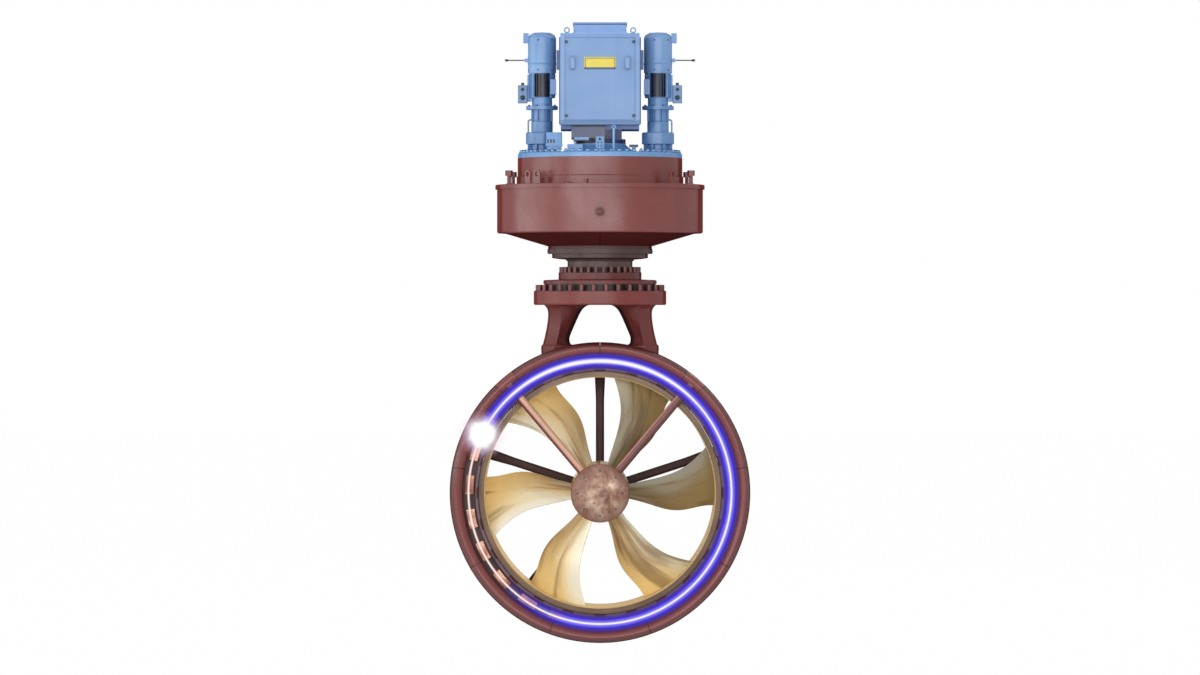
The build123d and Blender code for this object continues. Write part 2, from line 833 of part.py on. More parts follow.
bracket_half_width = 29.0
bracket_front = -272.0
bracket_thickness = 8.0
bracket_top = 357.0
bracket_holes = (272.0, 294.0, 316.0)
bracket_hole_radius = 4.5
bracket_hole_spacing = 11.0
bracket_eye_radius = 8.0
bracket_eye_drop = 18.0


def make_instrument_bracket():
    half, front = bracket_half_width, bracket_front
    rear = front + bracket_thickness
    plate = block(-half, half, front, rear, deck_top, bracket_top)
    plate += block(-half, half, rear, -deck_cover_radius - 1, deck_top, deck_top + bracket_thickness)
    for z in bracket_holes:
        for x in (-bracket_hole_spacing, bracket_hole_spacing):
            plate -= rod_along_y(bracket_hole_radius, 4 * bracket_thickness, x, front, z)
    hole_height = bracket_top - bracket_eye_drop
    return plate - rod_along_y(bracket_eye_radius, 4 * bracket_thickness, 0, front, hole_height)


manifold_place = (-170.0, -310.0)
manifold_half_size = (53.0, 35.0)
manifold_top = 302.0
manifold_corner = 6.0
manifold_stem_radius = 9.0
connector_radius = 13.0
connector_bottom = 322.0
connector_reach = 94.0
valve_place = (231.0, -300.0)
valve_radius = 14.0
valve_top = 281.0
valve_half_handle = 31.0


def make_oil_manifold():
    x, y = manifold_place
    half_width, half_depth = manifold_half_size
    body = block(x - half_width, x + half_width, y - half_depth, y + half_depth, deck_top, manifold_top)
    body = fillet(body.edges().filter_by(Axis.Z), manifold_corner)
    body += post(manifold_stem_radius, manifold_top, connector_bottom, x, y)
    body += post(connector_radius, connector_bottom, connector_bottom + 10, x, y)
    body += block(x - 6, x + connector_reach, y - 12, y + 12, connector_bottom + 4, connector_bottom + 28)
    x, y = valve_place
    union = post(valve_radius, deck_top, valve_top, x, y)
    union += block(x - valve_half_handle, x + valve_half_handle, y - 8, y + 8, valve_top, valve_top + 19)
    return group([body, union])


def make_dipstick_tube():
    x, y = dipstick_place
    pipe = post(dipstick_foot_radius, deck_top, deck_top + dipstick_foot_height, x, y)
    pipe += post(dipstick_tube_radius, deck_top, dipstick_tube_top, x, y)
    return pipe - post(dipstick_radius + running_gap, deck_top + 8, dipstick_tube_top + 1, x, y)


def make_dipstick():
    x, y = dipstick_place
    cap_bottom = dipstick_tube_top + seat_gap
    stick = post(dipstick_radius, deck_top + dipstick_foot_height, cap_bottom + 5, x, y)
    stick += post(dipstick_tube_radius, cap_bottom, dipstick_top - dipstick_ring_radius, x, y)
    return stick + Pos(x, y, dipstick_top) * Rot(90, 0, 0) * Torus(dipstick_ring_radius, dipstick_ring_wire)


# Cabinet cover
def make_cabinet_cover():
    height = cabinet_top - cabinet_bottom
    middle = (cabinet_top + cabinet_bottom) / 2
    bevel_rear = cabinet_front + cover_bevel_depth
    face = Plane(origin=(0, cabinet_front, middle), x_dir=(1, 0, 0), z_dir=(0, -1, 0))
    border = Plane(origin=(0, bevel_rear, middle), x_dir=(1, 0, 0), z_dir=(0, -1, 0))
    cover = block(-cabinet_width / 2, cabinet_width / 2, bevel_rear, cabinet_front + cover_thickness,
                  cabinet_bottom, cabinet_top)
    cover = fillet(cover.edges().filter_by(Axis.Y), cabinet_corner)
    inner = Rectangle(cabinet_width - 2 * cover_bevel, height - 2 * cover_bevel)
    outer = Rectangle(cabinet_width - 2 * cabinet_corner, height - 2 * cabinet_corner)
    return cover + loft([border * outer, face * inner], ruled=True)


def make_cover_fittings():
    pieces = []
    low, high = handle_height - handle_length / 2, handle_height + handle_length / 2
    outer = cabinet_front - handle_reach
    for side in (-1, 1):
        lock_x = side * (cabinet_width / 2 - lock_inset)
        for z in (cabinet_bottom + lock_rise, cabinet_top - lock_rise):
            knob = Pos(lock_x, cabinet_front, z) * Rot(90, 0, 0) * extrude(Circle(lock_radius), lock_height)
            pieces.append(fillet(knob.edges().sort_by(Axis.Y)[0], lock_edge))
        left = side * handle_offset - handle_width / 2
        right = left + handle_width
        grip = block(left, right, outer, cabinet_front, low, high)
        grip = fillet(grip.edges().filter_by(Axis.X).group_by(Axis.Y)[0], handle_corner)
        grip -= block(left - 1, right + 1, outer + handle_bar, cabinet_front + 1, low + handle_end,
                      high - handle_end)
        pieces.append(grip)
    pieces.append(block(-plate_width / 2, plate_width / 2, cabinet_front - plate_thickness, cabinet_front,
                        plate_centre - plate_height / 2, plate_centre + plate_height / 2))
    return group(pieces)


# Azimuth unit
def make_slewing_gear_ring():
    inner = ring_pitch_radius - gear_ring_width
    outer = race_inner - sliding_gap
    nose = nose_height / 2
    ring = turned([
        (inner, race_bottom), (outer, race_bottom), (outer, race_middle - nose),
        (outer + nose_reach, race_middle - nose), (outer + nose_reach, race_middle + nose),
        (outer, race_middle + nose), (outer, race_top), (inner, race_top)])
    tip = ring_pitch_radius - gear_module
    root = ring_pitch_radius + gear_root_depth * gear_module
    space = gear_outline(ring_teeth, root, tip, flank_backlash)
    return ring - Pos(0, 0, race_bottom - 1) * extrude(space, race_height + 2)


def make_trunk():
    inner = trunk_radius - trunk_wall
    flange_outer = housing_bore - race_ledge_width - 10
    low = race_bottom - trunk_flange_thickness
    trunk = turned([
        (inner, column_top), (trunk_radius, column_top), (trunk_radius, low), (flange_outer, low),
        (flange_outer, race_bottom), (inner, race_bottom)])
    mast_top = cabinet_bottom + cabinet_wall + slip_ring_height - mast_end_gap
    trunk += post(inner, low, race_bottom) + post(mast_radius, race_bottom, mast_top)
    return trunk - post(mast_radius - mast_wall, low - 1, mast_top + 1)


def make_column():
    return turned([
        (column_bore, column_top), (upper_disc_radius, column_top), (upper_disc_radius, column_top - 34),
        (middle_disc_radius, column_top - 34), (middle_disc_radius, column_top - 63),
        (middle_disc_radius - 41, column_top - 70), (neck_radius + 14, column_top - 74),
        (neck_radius, column_top - 88), (neck_radius, neck_flange_top), (neck_flange_radius, neck_flange_top),
        (neck_flange_radius, wide_disc_top + 4), (wide_disc_radius - 6, wide_disc_top),
        (wide_disc_radius, wide_disc_top - 6), (wide_disc_radius, wide_disc_top - wide_disc_thickness),
        (wide_disc_radius - 6, wide_disc_top - wide_disc_thickness), (wide_disc_radius - 6, column_bottom),
        (column_bore, column_bottom)])


def make_column_bolts():
    first = 180 / column_bolt_count
    upper = [post(upper_bolt_radius, neck_flange_top, neck_flange_top + upper_bolt_height, x, y)
             for x, y, _ in circle_points(upper_bolt_circle, column_bolt_count, first)]
    lower = [post(lower_bolt_radius, column_bottom, column_bottom + lower_bolt_height, x, y)
             for x, y, _ in circle_points(lower_bolt_circle, column_bolt_count, first)]
    return group(upper + lower)


# Shell of the duct: outline of its section, radius first and then the place along Y
def shell_outline():
    lip = Spline((groove_outer_radius, groove_edge), (groove_outer_radius + lip_crest, duct_front),
                 (duct_radius, duct_lip_end), tangents=[(1, -1.2), (0, 1)])
    rest = Polyline((duct_radius, duct_lip_end), (duct_radius, duct_mid), (duct_joint_radius, duct_joint),
                    (groove_outer_radius, duct_joint), (groove_outer_radius, groove_edge))
    return make_face([lip, rest])


def shell_hollow():
    inner = groove_outer_radius + duct_wall
    outer = duct_radius - duct_wall
    return make_face(Polyline(
        (inner, groove_edge + duct_wall), (inner + 22, duct_front + duct_wall + 8),
        (outer - 10, duct_lip_end - duct_wall),
        (outer, duct_lip_end + 12), (outer, duct_mid), (duct_joint_radius - duct_wall, duct_joint - duct_wall),
        (inner, duct_joint - duct_wall), close=True))


def make_duct_segments():
    section = shell_outline() - shell_hollow()
    seams = [(angle % 360, 0.0) for angle in single_seams]
    seams += [(angle, foot_half_angle) for angle in front_strut_angles]
    seams.sort()
    seams.append((seams[0][0] + 360, seams[0][1]))
    gap = segment_gap_deg / 2
    return group([duct_arc(section, start + start_half + gap, end - end_half - gap)
                  for (start, start_half), (end, end_half) in zip(seams, seams[1:])])


# Legs, from section to section: height, outer edge, inner edge and half the depth along Y
leg_sections = (
    (-796.0, 388.0, 60.0, 285.0), (-812.0, 370.0, 106.0, 262.0), (-843.0, 358.0, 132.0, 245.0),
    (-886.0, 358.0, 154.0, 235.0), (-936.0, 364.0, 176.0, 230.0), (-985.0, 373.0, 197.0, 228.0),
    (-1028.0, 383.0, 211.0, 228.0), (-1052.0, 389.0, 209.0, 228.0), (-1072.0, 396.0, 186.0, 230.0),
    (-1100.0, 405.0, 160.0, 235.0), (-1135.0, 420.0, 140.0, 240.0), (-1250.0, 500.0, 100.0, 250.0))
leg_ridge_inset = 92.0
leg_side_share = 0.34
leg_facet_share = 0.8
leg_inner_width = 62.0
leg_inner_share = 0.84
leg_throat_share = 0.42


# Half of a leg's section in front of the duct's middle, a ridge between two flats
def leg_corners(outer, inner, half_depth):
    ridge = outer - leg_ridge_inset
    front = [(outer, leg_side_share), (outer - 14, leg_facet_share), (ridge, 1.0),
             (inner + leg_inner_width, leg_inner_share), (inner + 12, 0.6), (inner, leg_throat_share)]
    corners = [(-x, -share * half_depth) for x, share in front]
    return corners + [(x, -y) for x, y in reversed(corners)]


def make_strut_frame():
    flange = post(frame_flange_radius, frame_bottom, column_bottom)
    flange = fillet(flange.edges().group_by(Axis.Z)[0], 12)
    flange = chamfer(flange.edges().group_by(Axis.Z)[-1], 4)
    flange -= post(column_bore, frame_bottom + 20, column_bottom + 1)
    sections = [Pos(0, 0, height) * make_face(Polyline(*leg_corners(outer, inner, half_depth), close=True))
                for height, outer, inner, half_depth in leg_sections]
    leg = loft(sections)
    leg -= on_duct(revolve(Plane.XZ * make_face(Polyline(
        (0, duct_front), (duct_radius + seat_gap, duct_front), (duct_radius + seat_gap, duct_mid),
        (duct_joint_radius + seat_gap, duct_joint), (0, duct_joint), close=True)), Axis.Z))
    return flange + leg + mirror(leg, about=Plane.YZ)


# Stator and rotor in the rim
def coil_starts():
    step = 360.0 / coil_count
    return [coil_start_angle + step * i for i in range(coil_count)]


def make_stator_core():
    half = core_half_length
    core = duct_ring([
        (can_outer, -half), (groove_outer_radius - seat_gap, -half), (groove_outer_radius - seat_gap, half),
        (can_outer, half)])
    inner, outer = coil_inner_radius - slot_gap, coil_outer_radius + slot_gap
    for start in coil_starts():
        for first in (start, start + coil_angle - coil_leg_angle):
            core -= arc_block(inner, outer, -half - 1, half + 1, first - slot_gap_deg,
                              first + coil_leg_angle + slot_gap_deg)
    return core


def make_stator_coils():
    coils = []
    half = coil_half_length
    hole_end = half - coil_end_depth
    for start in coil_starts():
        end = start + coil_angle
        coil = arc_block(coil_inner_radius, coil_outer_radius, -half, half, start, end)
        coil -= arc_block(coil_inner_radius - 5, coil_outer_radius + 5, -hole_end, hole_end,
                          start + coil_leg_angle, end - coil_leg_angle)
        coils.append(coil)
    return group(coils)


def make_stator_can():
    return duct_ring([
        (can_lip_radius, can_front + 6), (can_lip_radius + 6, can_front), (groove_inner_radius - 4, can_front),
        (groove_inner_radius, can_front + 4), (groove_inner_radius, -core_half_length),
        (can_outer, -core_half_length), (can_outer, duct_joint), (can_inner, duct_joint),
        (can_inner, can_lip_end), (can_lip_radius, can_lip_end)])


def make_outlet_ring():
    return duct_ring([
        (can_inner, duct_joint), (duct_joint_radius, duct_joint), (duct_rear_radius + 4, duct_rear - 10),
        (duct_rear_radius - 6, duct_rear), (can_inner + 12, duct_rear), (can_inner + 4, duct_rear - 6)])


def make_rotor_rim():
    lip = rim_outer + rim_lip_height
    lip_end, rear_lip = rim_front + rim_lip_length, rim_rear - rim_lip_length
    return duct_ring([
        (rim_inner_radius, rim_front + 10), (rim_inner_radius + 8, rim_front), (lip, rim_front),
        (lip, lip_end), (rim_outer, lip_end), (rim_outer, rear_lip), (lip, rear_lip), (lip, rim_rear),
        (rim_inner_radius + 8, rim_rear), (rim_inner_radius, rim_rear - 10)])


def make_rotor_magnets():
    step = 360.0 / magnet_count
    low = rim_front + rim_lip_length
    high = rim_rear - rim_lip_length
    return group([arc_block(rim_outer, magnet_outer, low, high, step * i, step * (i + 1) - magnet_gap_deg)
                  for i in range(magnet_count)])


# Hub and skewed blades, the blade is lofted through sections turned to the pitch of each radius
def hub_solid():
    shoulder = hub_half_length - hub_shoulder
    return duct_ring([
        (0, -hub_half_length), (hub_end_radius, -hub_half_length), (hub_radius, -shoulder),
        (hub_radius, shoulder), (hub_end_radius, hub_half_length), (0, hub_half_length)])


def make_propeller_hub():
    return hub_solid() - on_duct(post(hub_bore, -hub_half_length - 1, hub_half_length + 1))


# Sections of one blade: radius, angle of its middle and half of the angle that it covers
blade_sections = (
    (150.0, 120.0, 14.6), (240.0, 119.9, 14.6), (340.0, 119.4, 14.6), (440.0, 119.2, 15.0),
    (540.0, 120.7, 14.9), (640.0, 124.0, 14.5), (730.0, 127.0, 15.0), (830.0, 130.2, 17.4))


def blade_section(radius, angle, half_angle):
    share = radius / rim_inner_radius
    pitch_angle = atan2(blade_pitch, 2 * pi * radius)
    chord = 2 * radius * sin(radians(half_angle)) / cos(pitch_angle)
    taper = min(1.0, share) ** blade_taper
    thickness = blade_root_thickness + (blade_tip_thickness - blade_root_thickness) * taper
    half = chord / 2
    edge = blade_edge_thickness / 2
    camber = blade_camber * chord
    back = ThreePointArc((-half, edge), (0, camber + thickness / 2), (half, edge))
    face = ThreePointArc((half, -edge), (0, camber - thickness / 2), (-half, -edge))
    section = Face(Wire([back, Line((half, edge), (half, -edge)), face, Line((-half, -edge), (-half, edge))]))
    turn = radians(angle)
    outward = Vector(cos(turn), 0, sin(turn))
    around = Vector(-sin(turn), 0, cos(turn))
    along = around * cos(pitch_angle) - Vector(0, 1, 0) * sin(pitch_angle)
    middle = Vector(0, 0, duct_axis_z) + outward * radius
    return Plane(origin=middle, x_dir=along, z_dir=outward) * section


def make_propeller_blades():
    blade = loft([blade_section(*section) for section in blade_sections])
    blade = blade & on_duct(post(rim_inner_radius, -400, 400))
    blade -= hub_solid()
    axis = Axis((0, 0, duct_axis_z), (0, 1, 0))
    return group([blade.rotate(axis, 360.0 / blade_count * i) for i in range(blade_count)])


# Spiders, axle and caps
def spoke_plane(angle, y, reach):
    turn = radians(angle)
    outward = Vector(cos(turn), 0, sin(turn))
    return Plane(origin=Vector(0, y, duct_axis_z) + outward * reach, x_dir=(0, 1, 0), z_dir=outward)


def spoke(angle, front, rear, start, end, width):
    depth = rear - front
    corner = min(strut_corner_share * width, spoke_depth_share * depth)
    section = RectangleRounded(depth, width, corner)
    return extrude(spoke_plane(angle, (front + rear) / 2, start) * section, end - start)


def make_front_spider():
    hub = post(spider_hub_radius, spider_front, spider_back)
    spider = on_duct(hub - post(axle_radius, spider_front - 1, spider_back + 1))
    half = foot_half_angle - segment_gap_deg / 2
    for angle in front_strut_angles:
        foot = duct_arc(shell_outline() - shell_hollow(), angle - half, angle + half)
        foot += duct_arc(shell_outline(), angle - foot_web_half_angle, angle + foot_web_half_angle)
        strut = spoke(angle, spider_front, spider_back, spider_hub_radius - strut_overlap, front_strut_step,
                      front_strut_width)
        strut += spoke(angle, front_strut_low, front_strut_back, front_strut_step - strut_overlap, front_strut_reach,
                       front_strut_end_width)
        spider = spider + strut + foot
    return spider


def make_hub_cap():
    rim = spider_front - hub_cap_rim
    top = rim - hub_cap_dome
    edge = (hub_cap_radius - hub_cap_edge, rim - 3)
    crest = (hub_cap_radius * hub_cap_arc_place, top + hub_cap_dome * hub_cap_arc_drop)
    arc = ThreePointArc((0, top), crest, edge)
    rest = Polyline(edge, (hub_cap_radius, rim + 4), (hub_cap_radius, spider_front), (0, spider_front),
                    (0, top))
    cap = on_duct(revolve(Plane.XZ * make_face([arc, rest]), Axis.Z))
    for x, y, _ in circle_points(hub_cap_screw_circle, hub_cap_screws):
        cap -= on_duct(post(hub_cap_screw_radius, top, spider_front - 10, x, y))
    return cap


# One rear strut along Z, widened towards the outlet ring
def rear_strut(front, back, reach):
    half = rear_strut_width / 2
    wide = rear_strut_flare_width / 2
    root = rear_hub_radius - 20
    outline = Polyline((-half, root), (half, root), (half, rear_strut_flare_start), (wide, reach),
                       (-wide, reach), (-half, rear_strut_flare_start), close=True)
    strut = Pos(0, back, 0) * extrude(Plane.XZ * make_face(outline), back - front)
    sides = [edge for edge in strut.edges() if abs(edge.center().X) > half - 1 and abs((edge % 0.5).Y) < 0.5]
    return Pos(0, 0, duct_axis_z) * fillet(sides, rear_strut_corner)


def make_rear_spider():
    front = -spider_back
    back = -spider_front
    spider = duct_ring([
        (axle_radius, front), (rear_hub_radius, front), (rear_hub_radius, back),
        (rear_hub_radius - rear_cap_edge, back + 50),
        (rear_hub_radius - rear_cap_slope, back + rear_cap_depth - 12),
        (0, back + rear_cap_depth), (0, back + 10), (axle_radius, back + 10)])
    room = duct_ring([
        (0, front - 10), (can_inner, front - 10), (can_inner, duct_joint), (can_inner + 4, duct_rear - 6),
        (can_inner + 12, duct_rear), (can_inner + 12, back + 200), (0, back + 200)])
    strut = rear_strut(front + 6, back - 6, can_inner + 30) & room
    axis = Axis((0, 0, duct_axis_z), (0, 1, 0))
    for i in range(rear_strut_count):
        spider += strut.rotate(axis, 360.0 / rear_strut_count * i)
    return spider


def make_axle():
    return on_duct(post(axle_radius, spider_front + 4, -spider_front + 6))


def make_axle_bushes():
    end = hub_half_length - 4
    outer = axle_radius + bush_wall
    pieces = [duct_ring([(axle_radius, side * end), (outer, side * end), (outer, side * (end - bush_length)),
                         (axle_radius, side * (end - bush_length))]) for side in (-1, 1)]
    return group(pieces)


# Write every node
def placed(shape, side):
    return Pos(side * pinion_distance, 0, 0) * mirrored(shape, side)


nodes = {
    "well_drum": make_well_drum(),
    "mounting_flange": make_mounting_flange(),
    "drum_plug": make_drum_plug(),
    "steering_housing": make_steering_housing(),
    "deck_plate": make_deck_plate(),
    "deck_nuts": make_deck_nuts(),
    "jacking_posts": make_jacking_posts(),
    "lifting_lugs": make_lifting_lugs(),
    "slewing_outer_race": make_slewing_outer_race(),
    "trunk_seal": make_trunk_seal(),
    "deck_cover": make_deck_cover(),
    "pedestal": make_pedestal(),
    "cabinet_body": make_cabinet_body(),
    "roof_vent": make_roof_vent(),
    "cabinet_fittings": make_cabinet_fittings(),
    "slip_ring_housing": make_slip_ring_housing(),
    "terminal_boxes": group([placed(box, side) for side in (-1, 1) for box in make_terminal_boxes()]),
    "lubricator": make_lubricator(),
    "instrument_bracket": make_instrument_bracket(),
    "oil_manifold": make_oil_manifold(),
    "dipstick_tube": make_dipstick_tube(),
    "dipstick": make_dipstick(),
    "cabinet_cover": make_cabinet_cover(),
    "cover_fittings": make_cover_fittings(),
    "slewing_gear_ring": make_slewing_gear_ring(),
    "trunk": make_trunk(),
    "column": make_column(),
    "column_bolts": make_column_bolts(),
    "strut_frame": make_strut_frame(),
    "duct_segments": make_duct_segments(),
    "stator_core": make_stator_core(),
    "stator_coils": make_stator_coils(),
    "stator_can": make_stator_can(),
    "outlet_ring": make_outlet_ring(),
    "front_spider": make_front_spider(),
    "hub_cap": make_hub_cap(),
    "rear_spider": make_rear_spider(),
    "axle": make_axle(),
    "axle_bushes": make_axle_bushes(),
    "rotor_rim": make_rotor_rim(),
    "rotor_magnets": make_rotor_magnets(),
    "propeller_blades": make_propeller_blades(),
    "propeller_hub": make_propeller_hub(),
}

drives = {
    "motor": make_motor(),
    "motor_rotor": make_motor_rotor(),
    "cowl": make_cowl(),
    "brake_lever": make_brake_lever(),
    "control_box": make_control_box(),
    "stop_button": make_button(),
    "gearbox": make_gearbox(),
    "pinion": make_pinion(),
}
for name, shape in drives.items():
    nodes[name + "_left"] = placed(shape, -1)
    nodes[name + "_right"] = placed(shape, 1)
pipe = make_breather_pipe()
nodes["breather_pipes"] = group([placed(pipe, -1), placed(pipe, 1)])

for name, shape in nodes.items():
    export_step(shape, f"parts/{name}.step")
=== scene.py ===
"""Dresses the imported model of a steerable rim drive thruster: paint, bronze, copper and the glowing stator field."""

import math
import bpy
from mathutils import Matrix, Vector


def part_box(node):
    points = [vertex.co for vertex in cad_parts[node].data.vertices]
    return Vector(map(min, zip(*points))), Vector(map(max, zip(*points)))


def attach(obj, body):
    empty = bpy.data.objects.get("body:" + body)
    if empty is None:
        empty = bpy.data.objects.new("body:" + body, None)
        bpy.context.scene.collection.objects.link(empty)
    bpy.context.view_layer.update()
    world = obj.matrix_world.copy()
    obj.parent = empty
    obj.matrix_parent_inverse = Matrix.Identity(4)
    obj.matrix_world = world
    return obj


bl_info = {
    "name": "Rim Drive Thruster",
    "version": (1, 0, 0),
    "blender": (4, 5, 0),
    "location": "3D View > Sidebar > Thruster",
    "description": "Finishes a steerable rim drive thruster and sets up a plain studio around it",
    "category": "Add Mesh",
}

import bmesh
import bpy
from bpy.props import FloatProperty, FloatVectorProperty, IntProperty, PointerProperty
from mathutils import Matrix, Vector

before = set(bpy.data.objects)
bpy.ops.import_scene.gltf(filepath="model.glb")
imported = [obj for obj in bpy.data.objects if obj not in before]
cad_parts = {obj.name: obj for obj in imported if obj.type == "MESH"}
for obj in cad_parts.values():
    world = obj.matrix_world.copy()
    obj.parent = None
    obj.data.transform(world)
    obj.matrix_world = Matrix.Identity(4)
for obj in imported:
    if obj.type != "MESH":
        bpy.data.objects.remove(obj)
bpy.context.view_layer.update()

# Bodies, and places read from the imported model
HULL = "hull_unit"
AZIMUTH = "azimuth_unit"
SIDES = (("left", -1), ("right", 1))
deck_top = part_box("deck_plate")[1].z
cover_low, cover_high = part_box("cabinet_cover")
shell_low, shell_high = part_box("duct_segments")
duct_centre = (shell_low.z + shell_high.z) / 2
gearbox_low, gearbox_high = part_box("gearbox_right")
drive_axis = (gearbox_low.x + gearbox_high.x) / 2
box_low, box_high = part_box("control_box_right")
field_depth = shell_low.y + 0.0025

FULL_TURN = 2 * math.pi
QUARTER_TURN = math.radians(90)
FACING_UP = Matrix.Identity(4)
FACING_FRONT = Matrix.Rotation(QUARTER_TURN, 4, "X")
FACING_BACK = Matrix.Rotation(-QUARTER_TURN, 4, "X")

# A height above every piece, for patches without an upper end
ABOVE = 5
BLACK = (0.0, 0.0, 0.0, 1.0)
WHITE = (1.0, 1.0, 1.0, 1.0)

# Middle of the blade at 120 degrees: radius in metres and angle in degrees
blade_middles = (
    (0.15, 120.0), (0.34, 119.4), (0.44, 119.2), (0.54, 120.7), (0.64, 124.0), (0.73, 127.0), (0.83, 130.2))

# Where the duct's rounded front lip meets its outer wall
lip_end = -0.235

# Seams of the duct: angles in degrees, and half a seam's width as a share of the turn
duct_seams = (90.0, 170.0, -150.0, -110.0, -70.0, -30.0, 10.0, 134.3, 125.7, 54.3, 45.7)
seam_half_turn = 0.0005

# Coils of the stator, and the share of the can between two of them that a window takes, painted dark as the shade of a
# slot
coil_count = 24.0
window_share = 0.347

# Inner edge of a leg: height and distance from the middle in metres
leg_edge = (
    (-0.796, 0.060), (-0.812, 0.106), (-0.843, 0.132), (-0.886, 0.154), (-0.936, 0.176), (-0.985, 0.197),
    (-1.028, 0.211), (-1.052, 0.209), (-1.072, 0.186), (-1.1, 0.160))


def tone(red, green, blue):
    """Linear colour of a screen colour given from 0 to 255."""
    shares = [value / 255 for value in (red, green, blue)]
    return tuple(s / 12.92 if s <= 0.04045 else ((s + 0.055) / 1.055) ** 2.4 for s in shares)


# Sizes and colours that a user would change
class ThrusterColours(bpy.types.PropertyGroup):
    hull_red: FloatVectorProperty(
        name="Hull red", description="Red oxide paint of hull and duct", subtype="COLOR", default=tone(122, 58, 55))
    deck_blue: FloatVectorProperty(
        name="Deck blue", description="Machinery blue of deck and drives", subtype="COLOR",
        default=tone(112, 160, 212))
    cabinet_blue: FloatVectorProperty(
        name="Cabinet blue", description="Paint of the cabinet", subtype="COLOR", default=tone(118, 154, 201))
    bronze: FloatVectorProperty(
        name="Bronze", description="Bronze and painted reflections of the blades", subtype="COLOR", default=tone(200, 174, 128))
    field_blue: FloatVectorProperty(
        name="Field blue", description="Colour of the lit stator field", subtype="COLOR", default=tone(66, 48, 206))


class ThrusterSizes(bpy.types.PropertyGroup):
    field_radius: FloatProperty(
        name="Field radius", description="Radius of the lit line in the duct", default=0.899, unit="LENGTH")
    field_lift: FloatProperty(
        name="Field lift", description="Height of the lit line over the duct's axis", default=0.004, unit="LENGTH")
    field_half_width: FloatProperty(
        name="Field half width", description="Half the width of the lit band", default=0.066, unit="LENGTH")
    core_half_width: FloatProperty(
        name="Core half width", description="Half the white line's width at the sides", default=0.0105, unit="LENGTH")
    field_start: FloatProperty(
        name="Field start", description="Angle of the flash", default=math.radians(153.8), subtype="ANGLE")
    field_end: FloatProperty(
        name="Field end", description="Angle where the band has faded", default=math.radians(-137.0), subtype="ANGLE")
    flash_radius: FloatProperty(
        name="Flash radius", description="Radius of the flash at the field's head", default=0.175, unit="LENGTH")
    deck_nuts: IntProperty(name="Deck nuts", description="Nuts round the edge of the deck", default=64, min=8)
    column_bolts: IntProperty(
        name="Column bolts", description="Bolts in each flange of the column", default=32, min=8)


class ThrusterStage(bpy.types.PropertyGroup):
    camera_distance: FloatProperty(
        name="Camera distance", description="Distance from the azimuth axis", default=34.5, unit="LENGTH")
    eye_level: FloatProperty(name="Eye level", description="Height of the camera", default=-0.797, unit="LENGTH")
    lens: FloatProperty(name="Lens", description="Focal length in millimetres", default=150.0)
    floor_level: FloatProperty(
        name="Floor level", description="Height of the studio floor", default=-3.45, unit="LENGTH")


# Nodes
class Wire:
    """A node's output, which stands in formulas as a number does."""

    def __init__(self, socket):
        self.socket = socket
        self.tree = socket.id_data

    def __add__(self, other):
        return maths("ADD", self, other)

    def __sub__(self, other):
        return maths("SUBTRACT", self, other)

    def __mul__(self, other):
        return maths("MULTIPLY", self, other)

    def __truediv__(self, other):
        return maths("DIVIDE", self, other)


def feed(node, inputs):
    """Links wires to a node's inputs, and sets the other values on them."""
    for key, value in inputs.items():
        if isinstance(value, Wire):
            value.tree.links.new(value.socket, node.inputs[key])
        else:
            node.inputs[key].default_value = value


def add(tree, kind, inputs=(), **settings):
    """Adds a node with its attributes and inputs."""
    made = tree.nodes.new(kind)
    for key, value in settings.items():
        setattr(made, key, value)
    feed(made, dict(inputs))
    return made


def source(tree, kind, inputs=(), output=0, **settings):
    return Wire(add(tree, kind, inputs, **settings).outputs[output])


def tree_of(inputs):
    return next(value.tree for value in inputs.values() if isinstance(value, Wire))


def wired(kind, inputs, output=0, **settings):
    """Adds a node to the tree of the wires that feed it, and gives one of its outputs."""
    return source(tree_of(inputs), kind, inputs, output, **settings)


def maths(operation, first, second=0.0, clamp=False):
    return wired("ShaderNodeMath", {0: first, 1: second}, operation=operation, use_clamp=clamp)


def ranged(value, low, high, start=0.0, end=1.0):
    return wired("ShaderNodeMapRange", {
        "Value": value, "From Min": low, "From Max": high, "To Min": start, "To Max": end})


def noise(place, scale, detail=3.0, roughness=0.55, distortion=0.0):
    return wired("ShaderNodeTexNoise", {
        "Vector": place, "Scale": scale, "Detail": detail, "Roughness": roughness, "Distortion": distortion})


def split(place):
    return [Wire(part) for part in add(place.tree, "ShaderNodeSeparateXYZ", {0: place}).outputs]


def vector(x=0.0, y=0.0, z=0.0):
    return wired("ShaderNodeCombineXYZ", {0: x, 1: y, 2: z})


def reach(x, y):
    """Distance of a point from the middle."""
    return wired("ShaderNodeVectorMath", {0: vector(x, y)}, "Value", operation="LENGTH")


def mixed(share, first, second):
    """Mix of two colours. A colour given as three numbers gets its fourth."""
    pair = [value if isinstance(value, Wire) else (*value[:3], 1.0) for value in (first, second)]
    return wired("ShaderNodeMix", {0: share, 6: pair[0], 7: pair[1]}, 2, data_type="RGBA")


def ramp(share, stops):
    """Colour ramp from (place, colour) pairs. One number stands for a grey."""
    made = add(share.tree, "ShaderNodeValToRGB", {0: share})
    elements = made.color_ramp.elements
    while len(elements) < len(stops):
        elements.new(1.0)
    for element, (place, colour) in zip(elements, stops):
        element.position = place
        element.color = ((colour,) * 3 if isinstance(colour, (int, float)) else (*colour[:3],)) + (1.0,)
    return Wire(made.outputs[0])


